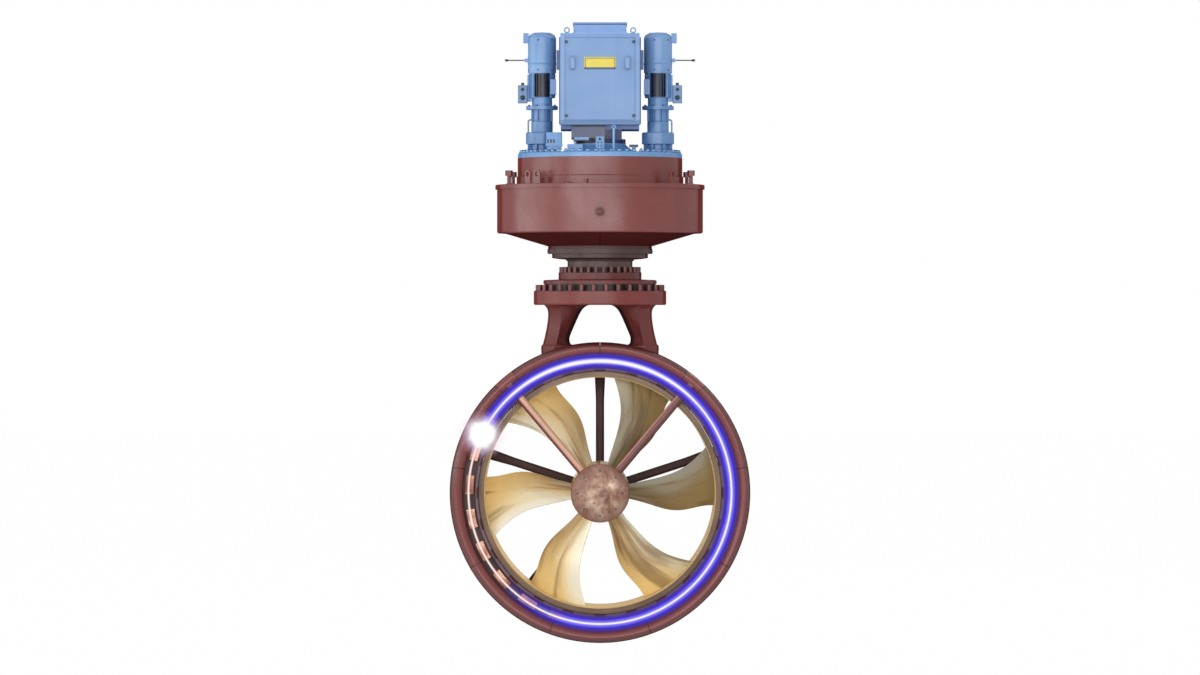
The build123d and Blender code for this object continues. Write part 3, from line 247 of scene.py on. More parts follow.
def group(name, inputs, outputs, kind="ShaderNodeTree"):
    """Empty node group: its inputs as wires, and its output node. A socket has a default or the name of its kind."""
    tree = bpy.data.node_groups.new(name, kind)
    for direction, sockets in (("INPUT", inputs), ("OUTPUT", outputs)):
        for label, value in sockets.items():
            kept = value if isinstance(value, str) else {bool: "Bool", int: "Int", float: "Float"}[type(value)]
            made = tree.interface.new_socket(name=label, in_out=direction, socket_type=f"NodeSocket{kept}")
            if kept != value:
                made.default_value = value
    given = {socket.name: Wire(socket) for socket in add(tree, "NodeGroupInput").outputs if socket.name}
    return given, add(tree, "NodeGroupOutput")


def placed(name, **inputs):
    """Puts a shared effect where its wires are, and gives its outputs by name."""
    made = add(tree_of(inputs), "ShaderNodeGroup", inputs, node_tree=bpy.data.node_groups[name])
    return {socket.name: Wire(socket) for socket in made.outputs}


# Shared effects
FINISH_OUTPUTS = {"Colour": "Color", "Roughness": 0.5, "Height": 0.0}


def build_paint_wear():
    """Cloudy stains, fine grain and uneven gloss of sprayed marine paint."""
    given, result = group("Paint wear", {
        "Place": "Vector", "Colour": "Color", "Stain": "Color", "Stains": 0.3, "Grain": 0.1, "Gloss": 0.4},
        FINISH_OUTPUTS)
    place, stains = given["Place"], given["Stains"]
    clouds = noise(place, 3.1, 5.0, 0.6)
    runs = wired("ShaderNodeMapping", {"Vector": place, "Scale": (14.0, 14.0, 1.6)})
    streaks = noise(runs, 1.0, 3.0)
    grain = noise(place, 170.0, 2.0)
    specks = noise(place, 46.0, 4.0, 0.7)
    share = maths("ADD", ranged(clouds, 0.42, 0.74) * stains, ranged(streaks, 0.5, 0.8) * stains, clamp=True)
    lift = (grain - 0.5) * given["Grain"] + (specks - 0.5) * given["Grain"]
    feed(result, {
        "Colour": wired("ShaderNodeHueSaturation", {
            "Value": lift + 1.0, "Color": mixed(share, given["Colour"], given["Stain"])}),
        "Roughness": given["Gloss"] + ranged(clouds, 0.3, 0.7, -0.06, 0.08),
        "Height": grain + specks * 0.6})


def build_duct_place():
    """Turn, radius and depth of a point round the duct's axis."""
    given, result = group("Duct place", {"Place": "Vector"}, {"Turn": 0.0, "Radius": 0.0, "Depth": 0.0})
    across, depth, height = split(given["Place"])
    up = height - duct_centre
    feed(result, {"Turn": maths("ARCTAN2", up, across) / FULL_TURN, "Radius": reach(across, up), "Depth": depth})


def build_block_mask():
    """One inside a box given by its low and high corners, nothing outside it."""
    given, result = group("Block mask", {"Place": "Vector", "Low": "Vector", "High": "Vector"}, {"Mask": 0.0})
    places = split(given["Place"])
    mask = 1.0
    for corner, test in (("Low", "GREATER_THAN"), ("High", "LESS_THAN")):
        for place, edge in zip(places, split(given[corner])):
            mask = maths(test, place, edge) * mask
    feed(result, {"Mask": mask})


def build_bronze_reflections():
    """Bronze with painted reflections: long soft bands from root to tip, as a polished and skewed bronze blade shows
    them.
    """
    given, result = group("Bronze and painted reflections", {"Turn": 0.0, "Radius": 0.0, "Colour": "Color"}, FINISH_OUTPUTS)
    turn, radius = given["Turn"], given["Radius"]
    # One blade is a sixth of the turn. The start keeps the ramp's values between nought and one.
    blade_angle, start = 60.0, 1.9
    sweep = ramp(radius, [(distance, angle / blade_angle - start) for distance, angle in blade_middles])
    blade = turn * 6.0 - sweep + (0.5 - start)
    across = maths("FRACT", blade) - 0.5
    place = vector(across * 9.0, radius * 1.5, maths("FLOOR", blade) * 3.7)
    bands = noise(place, 0.8, 2.0, 0.45, 0.4)
    fine = noise(place, 6.0, 4.0, 0.6)
    share = bands * 0.88 + fine * 0.12
    # Painted reflection across each blade: darker olive at one edge, a cream painted highlight at the other
    coloured = ramp(ranged(across + (share - 0.5) * 0.9, -0.36, 0.27), (
        (0.0, tone(172, 138, 88)), (0.3, tone(206, 174, 120)), (0.5, tone(232, 206, 158)),
        (0.7, tone(250, 236, 194)), (0.9, tone(255, 252, 230))))
    coloured = mixed(0.25, coloured, given["Colour"])
    # Painted highlight of gold near the tips, dark painted reflection streaks, and painted shade on the blades at the
    # right
    tip = ranged(radius, 0.4, 0.7) * ranged(across, 0.16, -0.04, 0.0, 0.9)
    reflection_streak = ranged(share, 0.46, 0.36, 0.0, 0.66)
    right = ranged(maths("COSINE", (turn - 1 / 12) * FULL_TURN), 0.0, 0.85, 0.0, 0.7)
    for amount, colour in ((tip, tone(252, 224, 156)), (reflection_streak, tone(124, 94, 62)), (right, tone(78, 64, 40))):
        coloured = mixed(amount, coloured, colour)
    feed(result, {"Colour": coloured, "Roughness": ranged(share, 0.3, 0.7, 0.36, 0.22), "Height": fine})


# Materials
class Surface:
    """A material with its Principled shader, a bump node and the place of a point on the object."""

    def __init__(self, name, metallic=0.0, bump=0.15, coat=0.0, specular=0.5):
        self.material = bpy.data.materials.new(name)
        self.material.use_nodes = True
        tree = self.material.node_tree
        self.shader = tree.nodes["Principled BSDF"]
        self.place = source(tree, "ShaderNodeTexCoord", output="Object")
        if specular:
            facing = source(tree, "ShaderNodeLayerWeight", {"Blend": 0.5}, "Facing")
            specular = ranged(facing, 0.25, 0.7, specular, 0.0)
        self.relief = add(tree, "ShaderNodeBump", {"Strength": bump, "Distance": 0.002})
        feed(self.shader, {"Metallic": metallic, "Coat Weight": coat, "Specular IOR Level": specular,
                           "Normal": Wire(self.relief.outputs[0])})

    def spot(self):
        return placed("Duct place", Place=self.place)

    def coated(self, base, roughness, height):
        feed(self.shader, {"Base Color": base, "Roughness": roughness})
        feed(self.relief, {"Height": height})
        return self.material

    def weathered(self, base, stain, stains, grain, gloss):
        """Leads a base colour through the shared wear and into the shader."""
        base = base if isinstance(base, Wire) else (*base[:3], 1.0)
        return self.coated(*placed("Paint wear", Place=self.place, Colour=base, Stain=(*stain[:3], 1.0),
                                   Stains=stains, Grain=grain, Gloss=gloss).values())

    def lit(self, colour, cover):
        """Lets the surface shine in a colour where its cover is more than nothing."""
        feed(self.shader, {"Base Color": BLACK, "Emission Color": colour, "Emission Strength": 1.0, "Alpha": cover})
        return self.material


def finish(material):
    """A shared finish by its name. Any other material stays as it is."""
    return bpy.data.materials[material] if isinstance(material, str) else material


def band(low, high, colour):
    """Patch over the whole width between two heights."""
    return (-1, -1, low), (1, 1, high), colour


def painted(name, colour, stain, stains=0.3, grain=0.12, gloss=0.4, patches=(), **look):
    """Weathered paint, with patches of (low corner, high corner, colour)."""
    paint = Surface(name, **look)
    for low, high, patch in patches:
        mask = placed("Block mask", Place=paint.place, Low=low, High=high)["Mask"]
        colour = mixed(mask, colour, patch)
    return paint.weathered(colour, stain, stains, grain, gloss)


def metal(name, colour, stain, gloss=0.3, metallic=0.9):
    return painted(name, colour, stain, 0.4, 0.15, gloss, metallic=metallic, bump=0.1)


def moulded(name, colour, gloss):
    """Moulded plastic or rubber with a fine grain."""
    return painted(name, colour, tuple(value * 0.5 for value in colour), 0.25, 0.2, gloss, bump=0.2)


def duct_paint(red):
    """Red paint with the lines between the segments, and painted shade where the front lip turns outwards."""
    paint = Surface("duct_red")
    spot = paint.spot()
    # Painted shade on the outer part of the rounded front lip
    outwards = ranged(spot["Radius"], 0.985, 1.03) * ranged(spot["Depth"], lip_end, lip_end - 0.015)
    base = mixed(outwards, red, tone(72, 35, 35))
    lines = 0.0
    for angle in duct_seams:
        line = wired("ShaderNodeMath", {0: spot["Turn"], 1: angle / 360, 2: seam_half_turn}, operation="COMPARE")
        lines = maths("MAXIMUM", line, lines)
    return paint.weathered(mixed(lines * 0.75, base, tone(40, 20, 22)), tone(140, 84, 82), 0.2, 0.12, 0.27)


def bronze_blades(colour):
    bronze = Surface("blade_bronze", metallic=0.2, bump=0.04, specular=0.7)
    spot = bronze.spot()
    return bronze.coated(*placed(
        "Bronze and painted reflections", Turn=spot["Turn"], Radius=spot["Radius"], Colour=(*colour, 1.0)).values())


def spun_metal(name, colour, dark, metallic, window_outer=0.0, lip=0.0):
    """Turned metal with fine rings, and where asked dark windows, painted shade of the slots, or a bright lip round
    its inner edge, a painted highlight.
    """
    turned = Surface(name, metallic=metallic, bump=0.08)
    spot = turned.spot()
    grooves = noise(vector(spot["Radius"] * 90.0, spot["Depth"] * 14.0, spot["Turn"] * 5.0), 1.0, 4.0, 0.6)
    share = grooves * 0.5 + noise(turned.place, 4.0, 4.0) * 0.5
    base = mixed(ranged(share, 0.36, 0.64), dark, colour)
    if window_outer:
        # Painted shade: dark windows between the coils
        away = maths("ABSOLUTE", maths("FRACT", spot["Turn"] * coil_count + 0.5) - 0.5)
        inside = maths("LESS_THAN", away, window_share / 2) * maths("LESS_THAN", spot["Radius"], window_outer)
        base = mixed(inside, base, tone(72, 26, 40))
    if lip:
        # Painted highlight along the inner edge
        base = mixed(ranged(spot["Radius"], lip, lip - 0.003), base, tone(226, 196, 142))
    return turned.coated(base, ranged(share, 0.3, 0.7, 0.42, 0.24), grooves)


def wound_copper():
    """Copper coil with the lay of its wires and a varnished sheen."""
    copper = Surface("wound_copper", metallic=0.7, bump=0.3, coat=0.3)
    wires = maths("SINE", copper.spot()["Radius"] * 2200.0)
    clouds = noise(copper.place, 9.0, 4.0)
    base = ramp(wires * 0.12 + clouds, (
        (0.3, tone(96, 50, 36)), (0.5, tone(206, 138, 108)), (0.72, tone(246, 205, 184))))
    return copper.coated(base, ranged(clouds, 0.3, 0.7, 0.4, 0.24), wires)


def lit_ring(name, sizes):
    """Glow material with the height over the lit ring's middle and the distance from its line."""
    light = Surface(name, bump=0.0, specular=0.0)
    across, _, height = split(light.place)
    up = height - (duct_centre + sizes.field_lift)
    return light, up, maths("ABSOLUTE", reach(across, up) - sizes.field_radius)


def field_light(sizes, blue):
    """Light that is white on its line and blue beside it, and dies away at its edges and at its tail."""
    light, up, away = lit_ring("field_light", sizes)
    share = away / sizes.field_half_width
    glow = ramp(share, (
        (0.0, tone(170, 160, 255)), (0.22, tone(128, 116, 252)), (0.44, blue), (0.66, tone(78, 64, 182)),
        (0.82, tone(78, 54, 140)), (1.0, tone(130, 90, 160))))
    # The white line is twice as wide where the band runs over the top
    width = ranged(up, 0.6, 0.88, 1.0, 2.0) * sizes.core_half_width
    core = maths("SUBTRACT", 1.0, away / width, clamp=True)
    colour = mixed(ranged(core, 0.0, 0.5), glow, tone(182, 172, 255))
    colour = mixed(ranged(core, 0.3, 0.7), colour, WHITE)
    cover = ramp(share, ((0.5, 0.94), (0.7, 0.66), (0.84, 0.26), (1.0, 0.0)))
    tail_length = math.radians(34)
    tail = ranged(light.spot()["Turn"], sizes.field_end / FULL_TURN, (sizes.field_end + tail_length) / FULL_TURN)
    return light.lit(colour, cover * maths("MAXIMUM", tail, core * 0.9))


def thread_light(sizes, half_width):
    """Thin warm thread of light where the field has passed."""
    light, _, away = lit_ring("thread_light", sizes)
    share = away / half_width
    colour = ramp(share, (
        (0.0, tone(255, 250, 248)), (0.3, tone(255, 236, 230)), (0.6, tone(226, 170, 156)),
        (1.0, tone(170, 100, 90))))
    return light.lit(colour, ramp(share, ((0.0, 1), (0.32, 0.9), (0.56, 0.35), (1.0, 0))))


def flash_light(centre, radius):
    """White flash with a violet and then a pink rim that dies away from its middle."""
    light = Surface("flash_light", bump=0.0, specular=0.0)
    away = wired("ShaderNodeVectorMath", {0: light.place, 1: centre}, "Value", operation="DISTANCE")
    share = away / radius + ranged(noise(light.place, 17.0, 3.0), 0.3, 0.7, -0.05, 0.05)
    colour = ramp(share, ((0.0, 1), (0.48, 1), (0.66, tone(246, 222, 252)), (1.0, tone(226, 160, 200))))
    return light.lit(colour, ramp(share, ((0.0, 1), (0.46, 1), (0.6, 0.5), (0.78, 0.18), (1.0, 0))))


def strut_copper(red):
    """The two struts painted as a lit and a shaded copy: pinkish copper on the left with painted shade on its lower
    side, maroon on the right with a painted highlight along its upper edge, red at their feet.
    """
    copper = Surface("strut_copper", metallic=0.1, bump=0.1, specular=0.6)
    across, _, height = split(copper.place)
    up = height - duct_centre

    def beside(angle):
        """Distance to the left of a strut that leaves the duct's axis at an angle in degrees."""
        turn = math.radians(angle)
        return up * math.cos(turn) - across * math.sin(turn)

    # Lit left strut with painted shade on its lower side; shaded right strut with a painted highlight on its upper
    # edge
    left = mixed(ranged(beside(130.0), 0.007, 0.014), tone(206, 160, 134), tone(112, 46, 44))
    right = mixed(ranged(beside(50.0), 0.015, 0.019), tone(94, 44, 38), tone(200, 140, 132))
    base = mixed(ranged(across, -0.001, 0.001), left, right)
    base = mixed(ranged(copper.spot()["Radius"], 0.929, 0.931), base, red)
    return copper.weathered(base, tone(120, 70, 64), 0.3, 0.1, 0.28)


def hub_cap_copper():
    """Tarnished copper with pale clouds in the middle, darker towards the rim."""
    copper = Surface("hub_cap_copper", metallic=0.2, bump=0.2)
    base = ramp(noise(copper.place, 9.0, 5.0, 0.62, 0.4), (
        (0.34, tone(106, 68, 54)), (0.47, tone(154, 116, 96)), (0.56, tone(184, 154, 132)),
        (0.68, tone(216, 194, 176))))
    base = mixed(ranged(noise(copper.place, 36.0, 4.0, 0.7), 0.56, 0.68), base, tone(96, 48, 42))
    base = mixed(ranged(copper.spot()["Radius"], 0.09, 0.19, 0.0, 0.8), base, tone(118, 76, 60))
    return copper.weathered(base, tone(110, 70, 60), 0.2, 0.2, 0.36)


def leg_paint(red):
    """Red paint of the two-legged frame, with painted shade nearly black where the legs turn inwards and a faint
    painted highlight on their outer faces.
    """
    paint = Surface("leg_paint", specular=0.3)
    across, _, height = split(paint.place)
    low, high = leg_edge[-1][0], leg_edge[0][0]
    edge = ramp(ranged(height, low, high), [((z - low) / (high - low), x) for z, x in reversed(leg_edge)])
    inside = maths("ABSOLUTE", across) - edge
    shade = ranged(inside, 0.036, 0.022) * ranged(height, high - 0.004, high - 0.012)
    # Painted highlight on the outer faces of the legs
    outer = ranged(inside, 0.1, 0.17) * ranged(height, high - 0.02, high - 0.06)
    base = mixed(ranged(height, high - 0.004, high - 0.02, 0.0, 0.4), red, tone(72, 32, 31))
    base = mixed(shade * 0.9, base, tone(40, 26, 28))
    base = mixed(outer * 0.15, base, tone(104, 60, 56))
    return paint.weathered(base, tone(96, 40, 38), 0.25, 0.12, 0.3)


def dress(material, *names):
    """Gives CAD nodes their finish."""
    for name in names:
        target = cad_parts[name]
        if not target.material_slots:
            target.data.materials.append(finish(material))
        for slot in target.material_slots:
            slot.material = finish(material)


def both(*names):
    return [f"{name}_{side}" for name in names for side, _ in SIDES]


# Meshes
def new_object(name, data):
    made = bpy.data.objects.new(name, data)
    bpy.context.scene.collection.objects.link(made)
    return made


def piece(name, mesh, material, body):
    """Makes an object of a finished mesh and lets it ride on its body."""
    made = new_object(name, mesh)
    mesh.materials.clear()
    mesh.materials.append(finish(material))
    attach(made, body)


def mesh_of(shape, name, place=FACING_UP):
    bmesh.ops.recalc_face_normals(shape, faces=shape.faces)
    mesh = bpy.data.meshes.new(name)
    shape.to_mesh(mesh)
    shape.free()
    mesh.transform(place)
    return mesh


def ring_band(name, sizes, half_width, start, end, steps, material):
    """Flat lit band round the duct's axis that faces the front."""
    columns = 8
    middle = duct_centre + sizes.field_lift
    distances = [sizes.field_radius + half_width * (2 * j / columns - 1) for j in range(columns + 1)]
    shape = bmesh.new()
    rows = []
    for i in range(steps + 1):
        angle = start + (end - start) * i / steps
        rows.append([shape.verts.new((distance * math.cos(angle), field_depth, middle + distance * math.sin(angle)))
                     for distance in distances])
    for first, second in zip(rows, rows[1:]):
        for j in range(columns):
            shape.faces.new((first[j], second[j], second[j + 1], first[j + 1]))
    piece(name, mesh_of(shape, name), material, AZIMUTH)


def lathe(name, outline, axis_place, axis_turn, steps, material, body):
    """Turns (radius, height) points round an axis into a closed shape."""
    shape = bmesh.new()
    rows = []
    for i in range(steps):
        angle = FULL_TURN * i / steps
        rows.append([shape.verts.new((radius * math.cos(angle), radius * math.sin(angle), height))
                     for radius, height in outline])
    for first, second in zip(rows, rows[1:] + rows[:1]):
        for j in range(len(outline)):
            after = (j + 1) % len(outline)
            shape.faces.new((first[j], second[j], second[after], first[after]))
    bmesh.ops.remove_doubles(shape, verts=shape.verts, dist=1e-6)
    mesh = mesh_of(shape, name, Matrix.Translation(axis_place) @ axis_turn)
    for polygon in mesh.polygons:
        polygon.use_smooth = True
    piece(name, mesh, material, body)


def line_frame(name, left, right, low, high, face, line, proud, material):
    """Four thin bars on the cover, a line wide, that stand a little proud of a face of it."""
    across, up = right - left, high - low
    shape = bmesh.new()
    for x, z, width, height in ((left, low, across, line), (left, high - line, across, line),
                                (left, low, line, up), (right - line, low, line, up)):
        place = Matrix.Translation((x + width / 2, face, z + height / 2))
        bmesh.ops.create_cube(shape, size=1.0, matrix=place @ Matrix.Diagonal((width, 2 * proud, height, 1.0)))
    piece(name, mesh_of(shape, name), material, "cabinet_cover")


# Fasteners set out in a ring by geometry nodes
def build_fastener_ring():
    """Tree that puts screws, nuts or bars round a circle, on washers where asked."""
    given, result = group("Fastener ring", {
        "Geometry": "Geometry", "Count": 8, "Circle Radius": 0.1, "First Angle": 0.0, "Tilt": 0.0, "Sides": 6,
        "Head Radius": 0.01, "Head Height": 0.01, "Washer Radius": 0.014, "Washer Height": 0.0,
        "Material": "Material"}, {"Geometry": "Geometry"}, "GeometryNodeTree")
    washer_height = given["Washer Height"]
    tree = washer_height.tree
    tree.is_modifier = True

    def raised(sides, radius, height, level):
        solid = wired("GeometryNodeMeshCylinder", {"Vertices": sides, "Radius": radius, "Depth": height}, "Mesh")
        return wired("GeometryNodeTransform", {"Geometry": solid, "Translation": vector(z=height * 0.5 + level)})

    head = raised(given["Sides"], given["Head Radius"], given["Head Height"], washer_height)
    washer = wired("GeometryNodeSwitch", {
        "Switch": maths("GREATER_THAN", washer_height, 0.0),
        "True": raised(20, given["Washer Radius"], washer_height, 0.0)}, input_type="GEOMETRY")
    joined = add(tree, "GeometryNodeJoinGeometry")
    for solid in (head, washer):
        feed(joined, {0: solid})
    circle = wired("GeometryNodeMeshCircle", {"Vertices": given["Count"], "Radius": given["Circle Radius"]})
    step = maths("DIVIDE", FULL_TURN, given["Count"])
    turn = vector(0.0, given["Tilt"], source(tree, "GeometryNodeInputIndex") * step)
    copies = wired("GeometryNodeInstanceOnPoints", {
        "Points": circle, "Instance": Wire(joined.outputs[0]), "Rotation": turn})
    spun = wired("GeometryNodeTransform", {"Geometry": copies, "Rotation": vector(z=given["First Angle"])})
    real = wired("GeometryNodeRealizeInstances", {"Geometry": spun})
    feed(result, {0: wired("GeometryNodeSetMaterial", {"Geometry": real, "Material": given["Material"]})})


def fastener_ring(name, body, material, place, head, turn=FACING_UP, **sizes):
    """Makes one ring of fasteners as a plain mesh. A head is given as its sides, radius and height."""
    holder = new_object(name + "_source", bpy.data.meshes.new(name + "_source"))
    modifier = holder.modifiers.new("Ring", "NODES")
    modifier.node_group = bpy.data.node_groups["Fastener ring"]
    values = {key.replace("_", " ").title(): value for key, value in sizes.items()}
    values.update(zip(("Sides", "Head Radius", "Head Height"), head), Material=finish(material))
    for item in modifier.node_group.interface.items_tree:
        if item.in_out == "INPUT" and item.name in values:
            modifier[item.identifier] = values[item.name]
    mesh = bpy.data.meshes.new_from_object(holder.evaluated_get(bpy.context.evaluated_depsgraph_get()))
    bpy.data.objects.remove(holder)
    mesh.transform(Matrix.Translation(place) @ turn)
    piece(name, mesh, material, body)


# Finishes that several operators share
def build_finishes(colours):
    red = colours.hull_red
    cone_low, cone_top = -0.5, -0.3035
    # Painted shade: the cone under the drum is darker; a second patch draws a dark line down the middle of its front
    painted("hull_red", red, tone(100, 42, 40), gloss=0.3, patches=(
        band(cone_low, cone_top, tone(80, 34, 33)),
        ((-0.003, -1, -0.4), (0.003, 0, cone_top), tone(30, 12, 12))))
    duct_paint(red)
    painted("seal_red", tone(80, 38, 36), tone(40, 20, 18), 0.4, 0.15, 0.5)
    painted("bolt_red", tone(112, 50, 48), tone(58, 26, 26), 0.4, 0.15, 0.34)
    # Painted shade in the gaps behind the upper and lower rows of bolts
    shade_behind_bolts = tone(26, 13, 13)
    painted("column_brown", tone(104, 82, 78), tone(50, 34, 34), 0.4, 0.18, 0.34, specular=0.3, patches=(
        band(-0.72, -0.565, tone(122, 60, 57)), band(-0.479, -0.4, tone(84, 62, 60)),
        band(-0.577, -0.536, shade_behind_bolts), band(-0.697, -0.654, shade_behind_bolts)))
    painted("deck_blue", colours.deck_blue, tone(66, 100, 150), gloss=0.32)
    painted("cabinet_blue", colours.cabinet_blue, tone(96, 132, 184), 0.2, 0.06, 0.36)
    painted("drive_blue", tone(102, 143, 191), tone(62, 94, 138), 0.35, 0.14, 0.3)
    metal("dark_steel", tone(74, 76, 82), tone(36, 34, 36), 0.42)
    metal("bright_steel", tone(178, 180, 184), tone(110, 108, 106))
    metal("light_blue_steel", tone(132, 172, 220), tone(70, 104, 150), 0.36, metallic=0.2)
    metal("navy_steel", tone(44, 66, 100), tone(22, 32, 52), 0.45, metallic=0.3)
    moulded("black_plastic", tone(26, 27, 30), 0.4)
    moulded("grey_rubber", tone(44, 36, 38), 0.6)


class THRUSTER_OT_finishes(bpy.types.Operator):
    """Build the shared paint, metal and plastic finishes"""
    bl_idname = "thruster.finishes"
    bl_label = "Shared Finishes"

    def execute(self, context):
        for build in (build_paint_wear, build_duct_place, build_block_mask, build_bronze_reflections, build_fastener_ring):
            build()
        build_finishes(context.scene.thruster_colours)
        return {"FINISHED"}


def seen_ray(tree):
    """One for rays from the camera and for those that metal and glass send on."""
    path = add(tree, "ShaderNodeLightPath").outputs
    camera, glossy, through = (Wire(path[f"Is {kind} Ray"]) for kind in ("Camera", "Glossy", "Transmission"))
    return maths("MAXIMUM", maths("MAXIMUM", camera, glossy), through)


def bare_tree(owner):
    owner.use_nodes = True
    owner.node_tree.nodes.clear()
    return owner.node_tree


class THRUSTER_OT_stage(bpy.types.Operator):
    """Set the camera, lamps, floor and white surroundings"""
    bl_idname = "thruster.stage"
    bl_label = "Stage"

    photo_width = 1200
    photo_middle_row = 337.5
    photo_horizon_row = 305.0

    def execute(self, context):
        stage = context.scene.thruster_stage
        camera = new_object("camera", bpy.data.cameras.new("camera"))
        camera.location = (0.0, -stage.camera_distance, stage.eye_level)
        camera.rotation_euler = (QUARTER_TURN, 0.0, 0.0)
        camera.data.lens = stage.lens
        camera.data.sensor_width = 36.0
        camera.data.shift_y = (self.photo_horizon_row - self.photo_middle_row) / self.photo_width
        camera.data.clip_end = 200.0
        context.scene.camera = camera
        self.add_lamps()
        self.add_floor(stage.floor_level)
        self.add_surroundings(context.scene)
        context.scene.view_settings.view_transform = "Standard"
        return {"FINISHED"}

    def add_lamps(self):
        """Two wide soft panels at the left and in front, and a small one behind."""
        panels = (("front_panel", (-3.6, -14.0, 0.6), (19.6, 2.8), 840.0, (0.0, 1.0, 0.0)),
                  ("side_panel", (-14.0, -3.0, 0.6), (14.0, 2.8), 390.0, (1.0, 0.0, 0.0)),
                  ("back_panel", (5.0, 13.0, 4.0), (8.0, 5.0), 520.0, (-0.36, -0.9, -0.3)))
        for name, place, size, power, facing in panels:
            lamp = bpy.data.lights.new(name, "AREA")
            lamp.shape = "RECTANGLE"
            lamp.size, lamp.size_y = size
            lamp.energy = power
            holder = new_object(name, lamp)
            holder.location = place
            holder.rotation_euler = Vector(facing).to_track_quat("-Z", "Y").to_euler()
            holder.visible_camera = False

    def add_floor(self, level):
        """Wide pale floor that looks white and still takes the object's shadow."""
        shape = bmesh.new()
        bmesh.ops.create_grid(shape, x_segments=1, y_segments=1, size=70.0)
        floor = new_object("floor", mesh_of(shape, "floor"))
        floor.location = (0.0, 0.0, level)
        material = bpy.data.materials.new("studio_floor")
        tree = bare_tree(material)
        paper = source(tree, "ShaderNodeBsdfDiffuse", {"Color": (0.7, 0.7, 0.7, 1.0)})
        white = source(tree, "ShaderNodeEmission", {"Color": WHITE, "Strength": 1.0})
        shown = wired("ShaderNodeMixShader", {0: seen_ray(tree) * 0.99, 1: paper, 2: white})
        add(tree, "ShaderNodeOutputMaterial", {0: shown})
        floor.data.materials.append(material)

    def add_surroundings(self, scene):
        world = bpy.data.worlds.new("white_room")
        tree = bare_tree(world)
        strength = ranged(seen_ray(tree), 0.0, 1.0, 0.72, 1.0)
        sky = wired("ShaderNodeBackground", {"Color": WHITE, "Strength": strength})
        add(tree, "ShaderNodeOutputWorld", {0: sky})
        scene.world = world


class THRUSTER_OT_hull_side(bpy.types.Operator):
    """Paint the well drum, mounting flange and steering housing, and finish the drum plug"""
    bl_idname = "thruster.hull_side"
    bl_label = "Hull Side"

    def execute(self, context):
        dress("hull_red", "well_drum", "mounting_flange", "steering_housing", "lifting_lugs", "jacking_posts",
              "drum_plug")
        dress("seal_red", "trunk_seal")
        dress("dark_steel", "slewing_outer_race")
        plug_low, plug_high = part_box("drum_plug")
        middle = (plug_low + plug_high) / 2
        flange_depth = 0.014
        lathe("plug_socket", ((0.0, 0.0), (0.026, 0.0), (0.026, 0.0012), (0.0, 0.0012)),
              (middle.x, plug_low.y, middle.z), FACING_FRONT, 12, "bolt_red", HULL)
        lathe("plug_ring", ((0.031, 0.0), (0.034, 0.0), (0.034, 0.0015), (0.031, 0.0015)),
              (middle.x, plug_low.y + flange_depth, middle.z), FACING_FRONT, 48, "grey_rubber", HULL)
        return {"FINISHED"}


class THRUSTER_OT_column(bpy.types.Operator):
    """Finish the trunk, the column and its bolts"""
    bl_idname = "thruster.column"
    bl_label = "Column"

    def execute(self, context):
        bolts = context.scene.thruster_sizes.column_bolts
        dress("column_brown", "column", "trunk")
        dress("bolt_red", "column_bolts")
        dress("dark_steel", "slewing_gear_ring")
        bolt_low, bolt_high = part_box("column_bolts")
        for name, level, radius, washer in (("upper_washers", bolt_high.z - 0.039, 0.268, 0.0175),
                                            ("lower_washers", bolt_low.z, 0.431, 0.0205)):
            fastener_ring(name, AZIMUTH, "dark_steel", (0, 0, level), (20, washer, 0.003), count=bolts,
                          circle_radius=radius, first_angle=math.radians(180 / bolts))
        for name, level, radius in (("disc_set_screws", -0.6385, 0.3885), ("neck_screws", -0.427, 0.3605)):
            fastener_ring(name, AZIMUTH, "dark_steel", (0, 0, level), (10, 0.006, 0.003), count=24,
                          circle_radius=radius, tilt=QUARTER_TURN)
        return {"FINISHED"}


class THRUSTER_OT_strut_frame(bpy.types.Operator):
    """Paint the two-legged frame"""
    bl_idname = "thruster.strut_frame"
    bl_label = "Strut Frame"

    def execute(self, context):
        dress(leg_paint(context.scene.thruster_colours.hull_red), "strut_frame")
        return {"FINISHED"}


class THRUSTER_OT_duct(bpy.types.Operator):
    """Paint the duct, its outlet ring and the front and rear spiders"""
    bl_idname = "thruster.duct"
    bl_label = "Duct"

    def execute(self, context):
        dress("duct_red", "duct_segments", "outlet_ring")
        liner, wall = shell_high.z - duct_centre - 0.022, 0.002
        lathe("seam_liner", ((liner - wall, -0.2), (liner, -0.2), (liner, 0.0), (liner - wall, 0.0)),
              (0.0, 0.0, duct_centre), FACING_BACK, 180, "grey_rubber", AZIMUTH)
        dress(strut_copper(context.scene.thruster_colours.hull_red), "front_spider")
        dress(painted("strut_maroon", tone(58, 25, 23), tone(28, 12, 14), 0.35, 0.14, specular=0.3), "rear_spider")
        dress(hub_cap_copper(), "hub_cap")
        cap_front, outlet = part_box("hub_cap")[0].y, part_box("outlet_ring")[1].y
        for name, depth, turn, head, count, radius, first in (
                ("hub_cap_screws", cap_front + 0.03, FACING_FRONT, (16, 0.0066, 0.012), 8, 0.152, 0.0),
                ("hub_cap_rim_screws", cap_front + 0.038, FACING_FRONT, (12, 0.0045, 0.003), 16, 0.183, 11.0),
                ("outlet_screws", outlet, FACING_BACK, (10, 0.008, 0.004), 48, 0.93, 0.0)):
            fastener_ring(name, AZIMUTH, "dark_steel", (0, depth, duct_centre), head, turn, count=count,
                          circle_radius=radius, first_angle=math.radians(first))
        return {"FINISHED"}


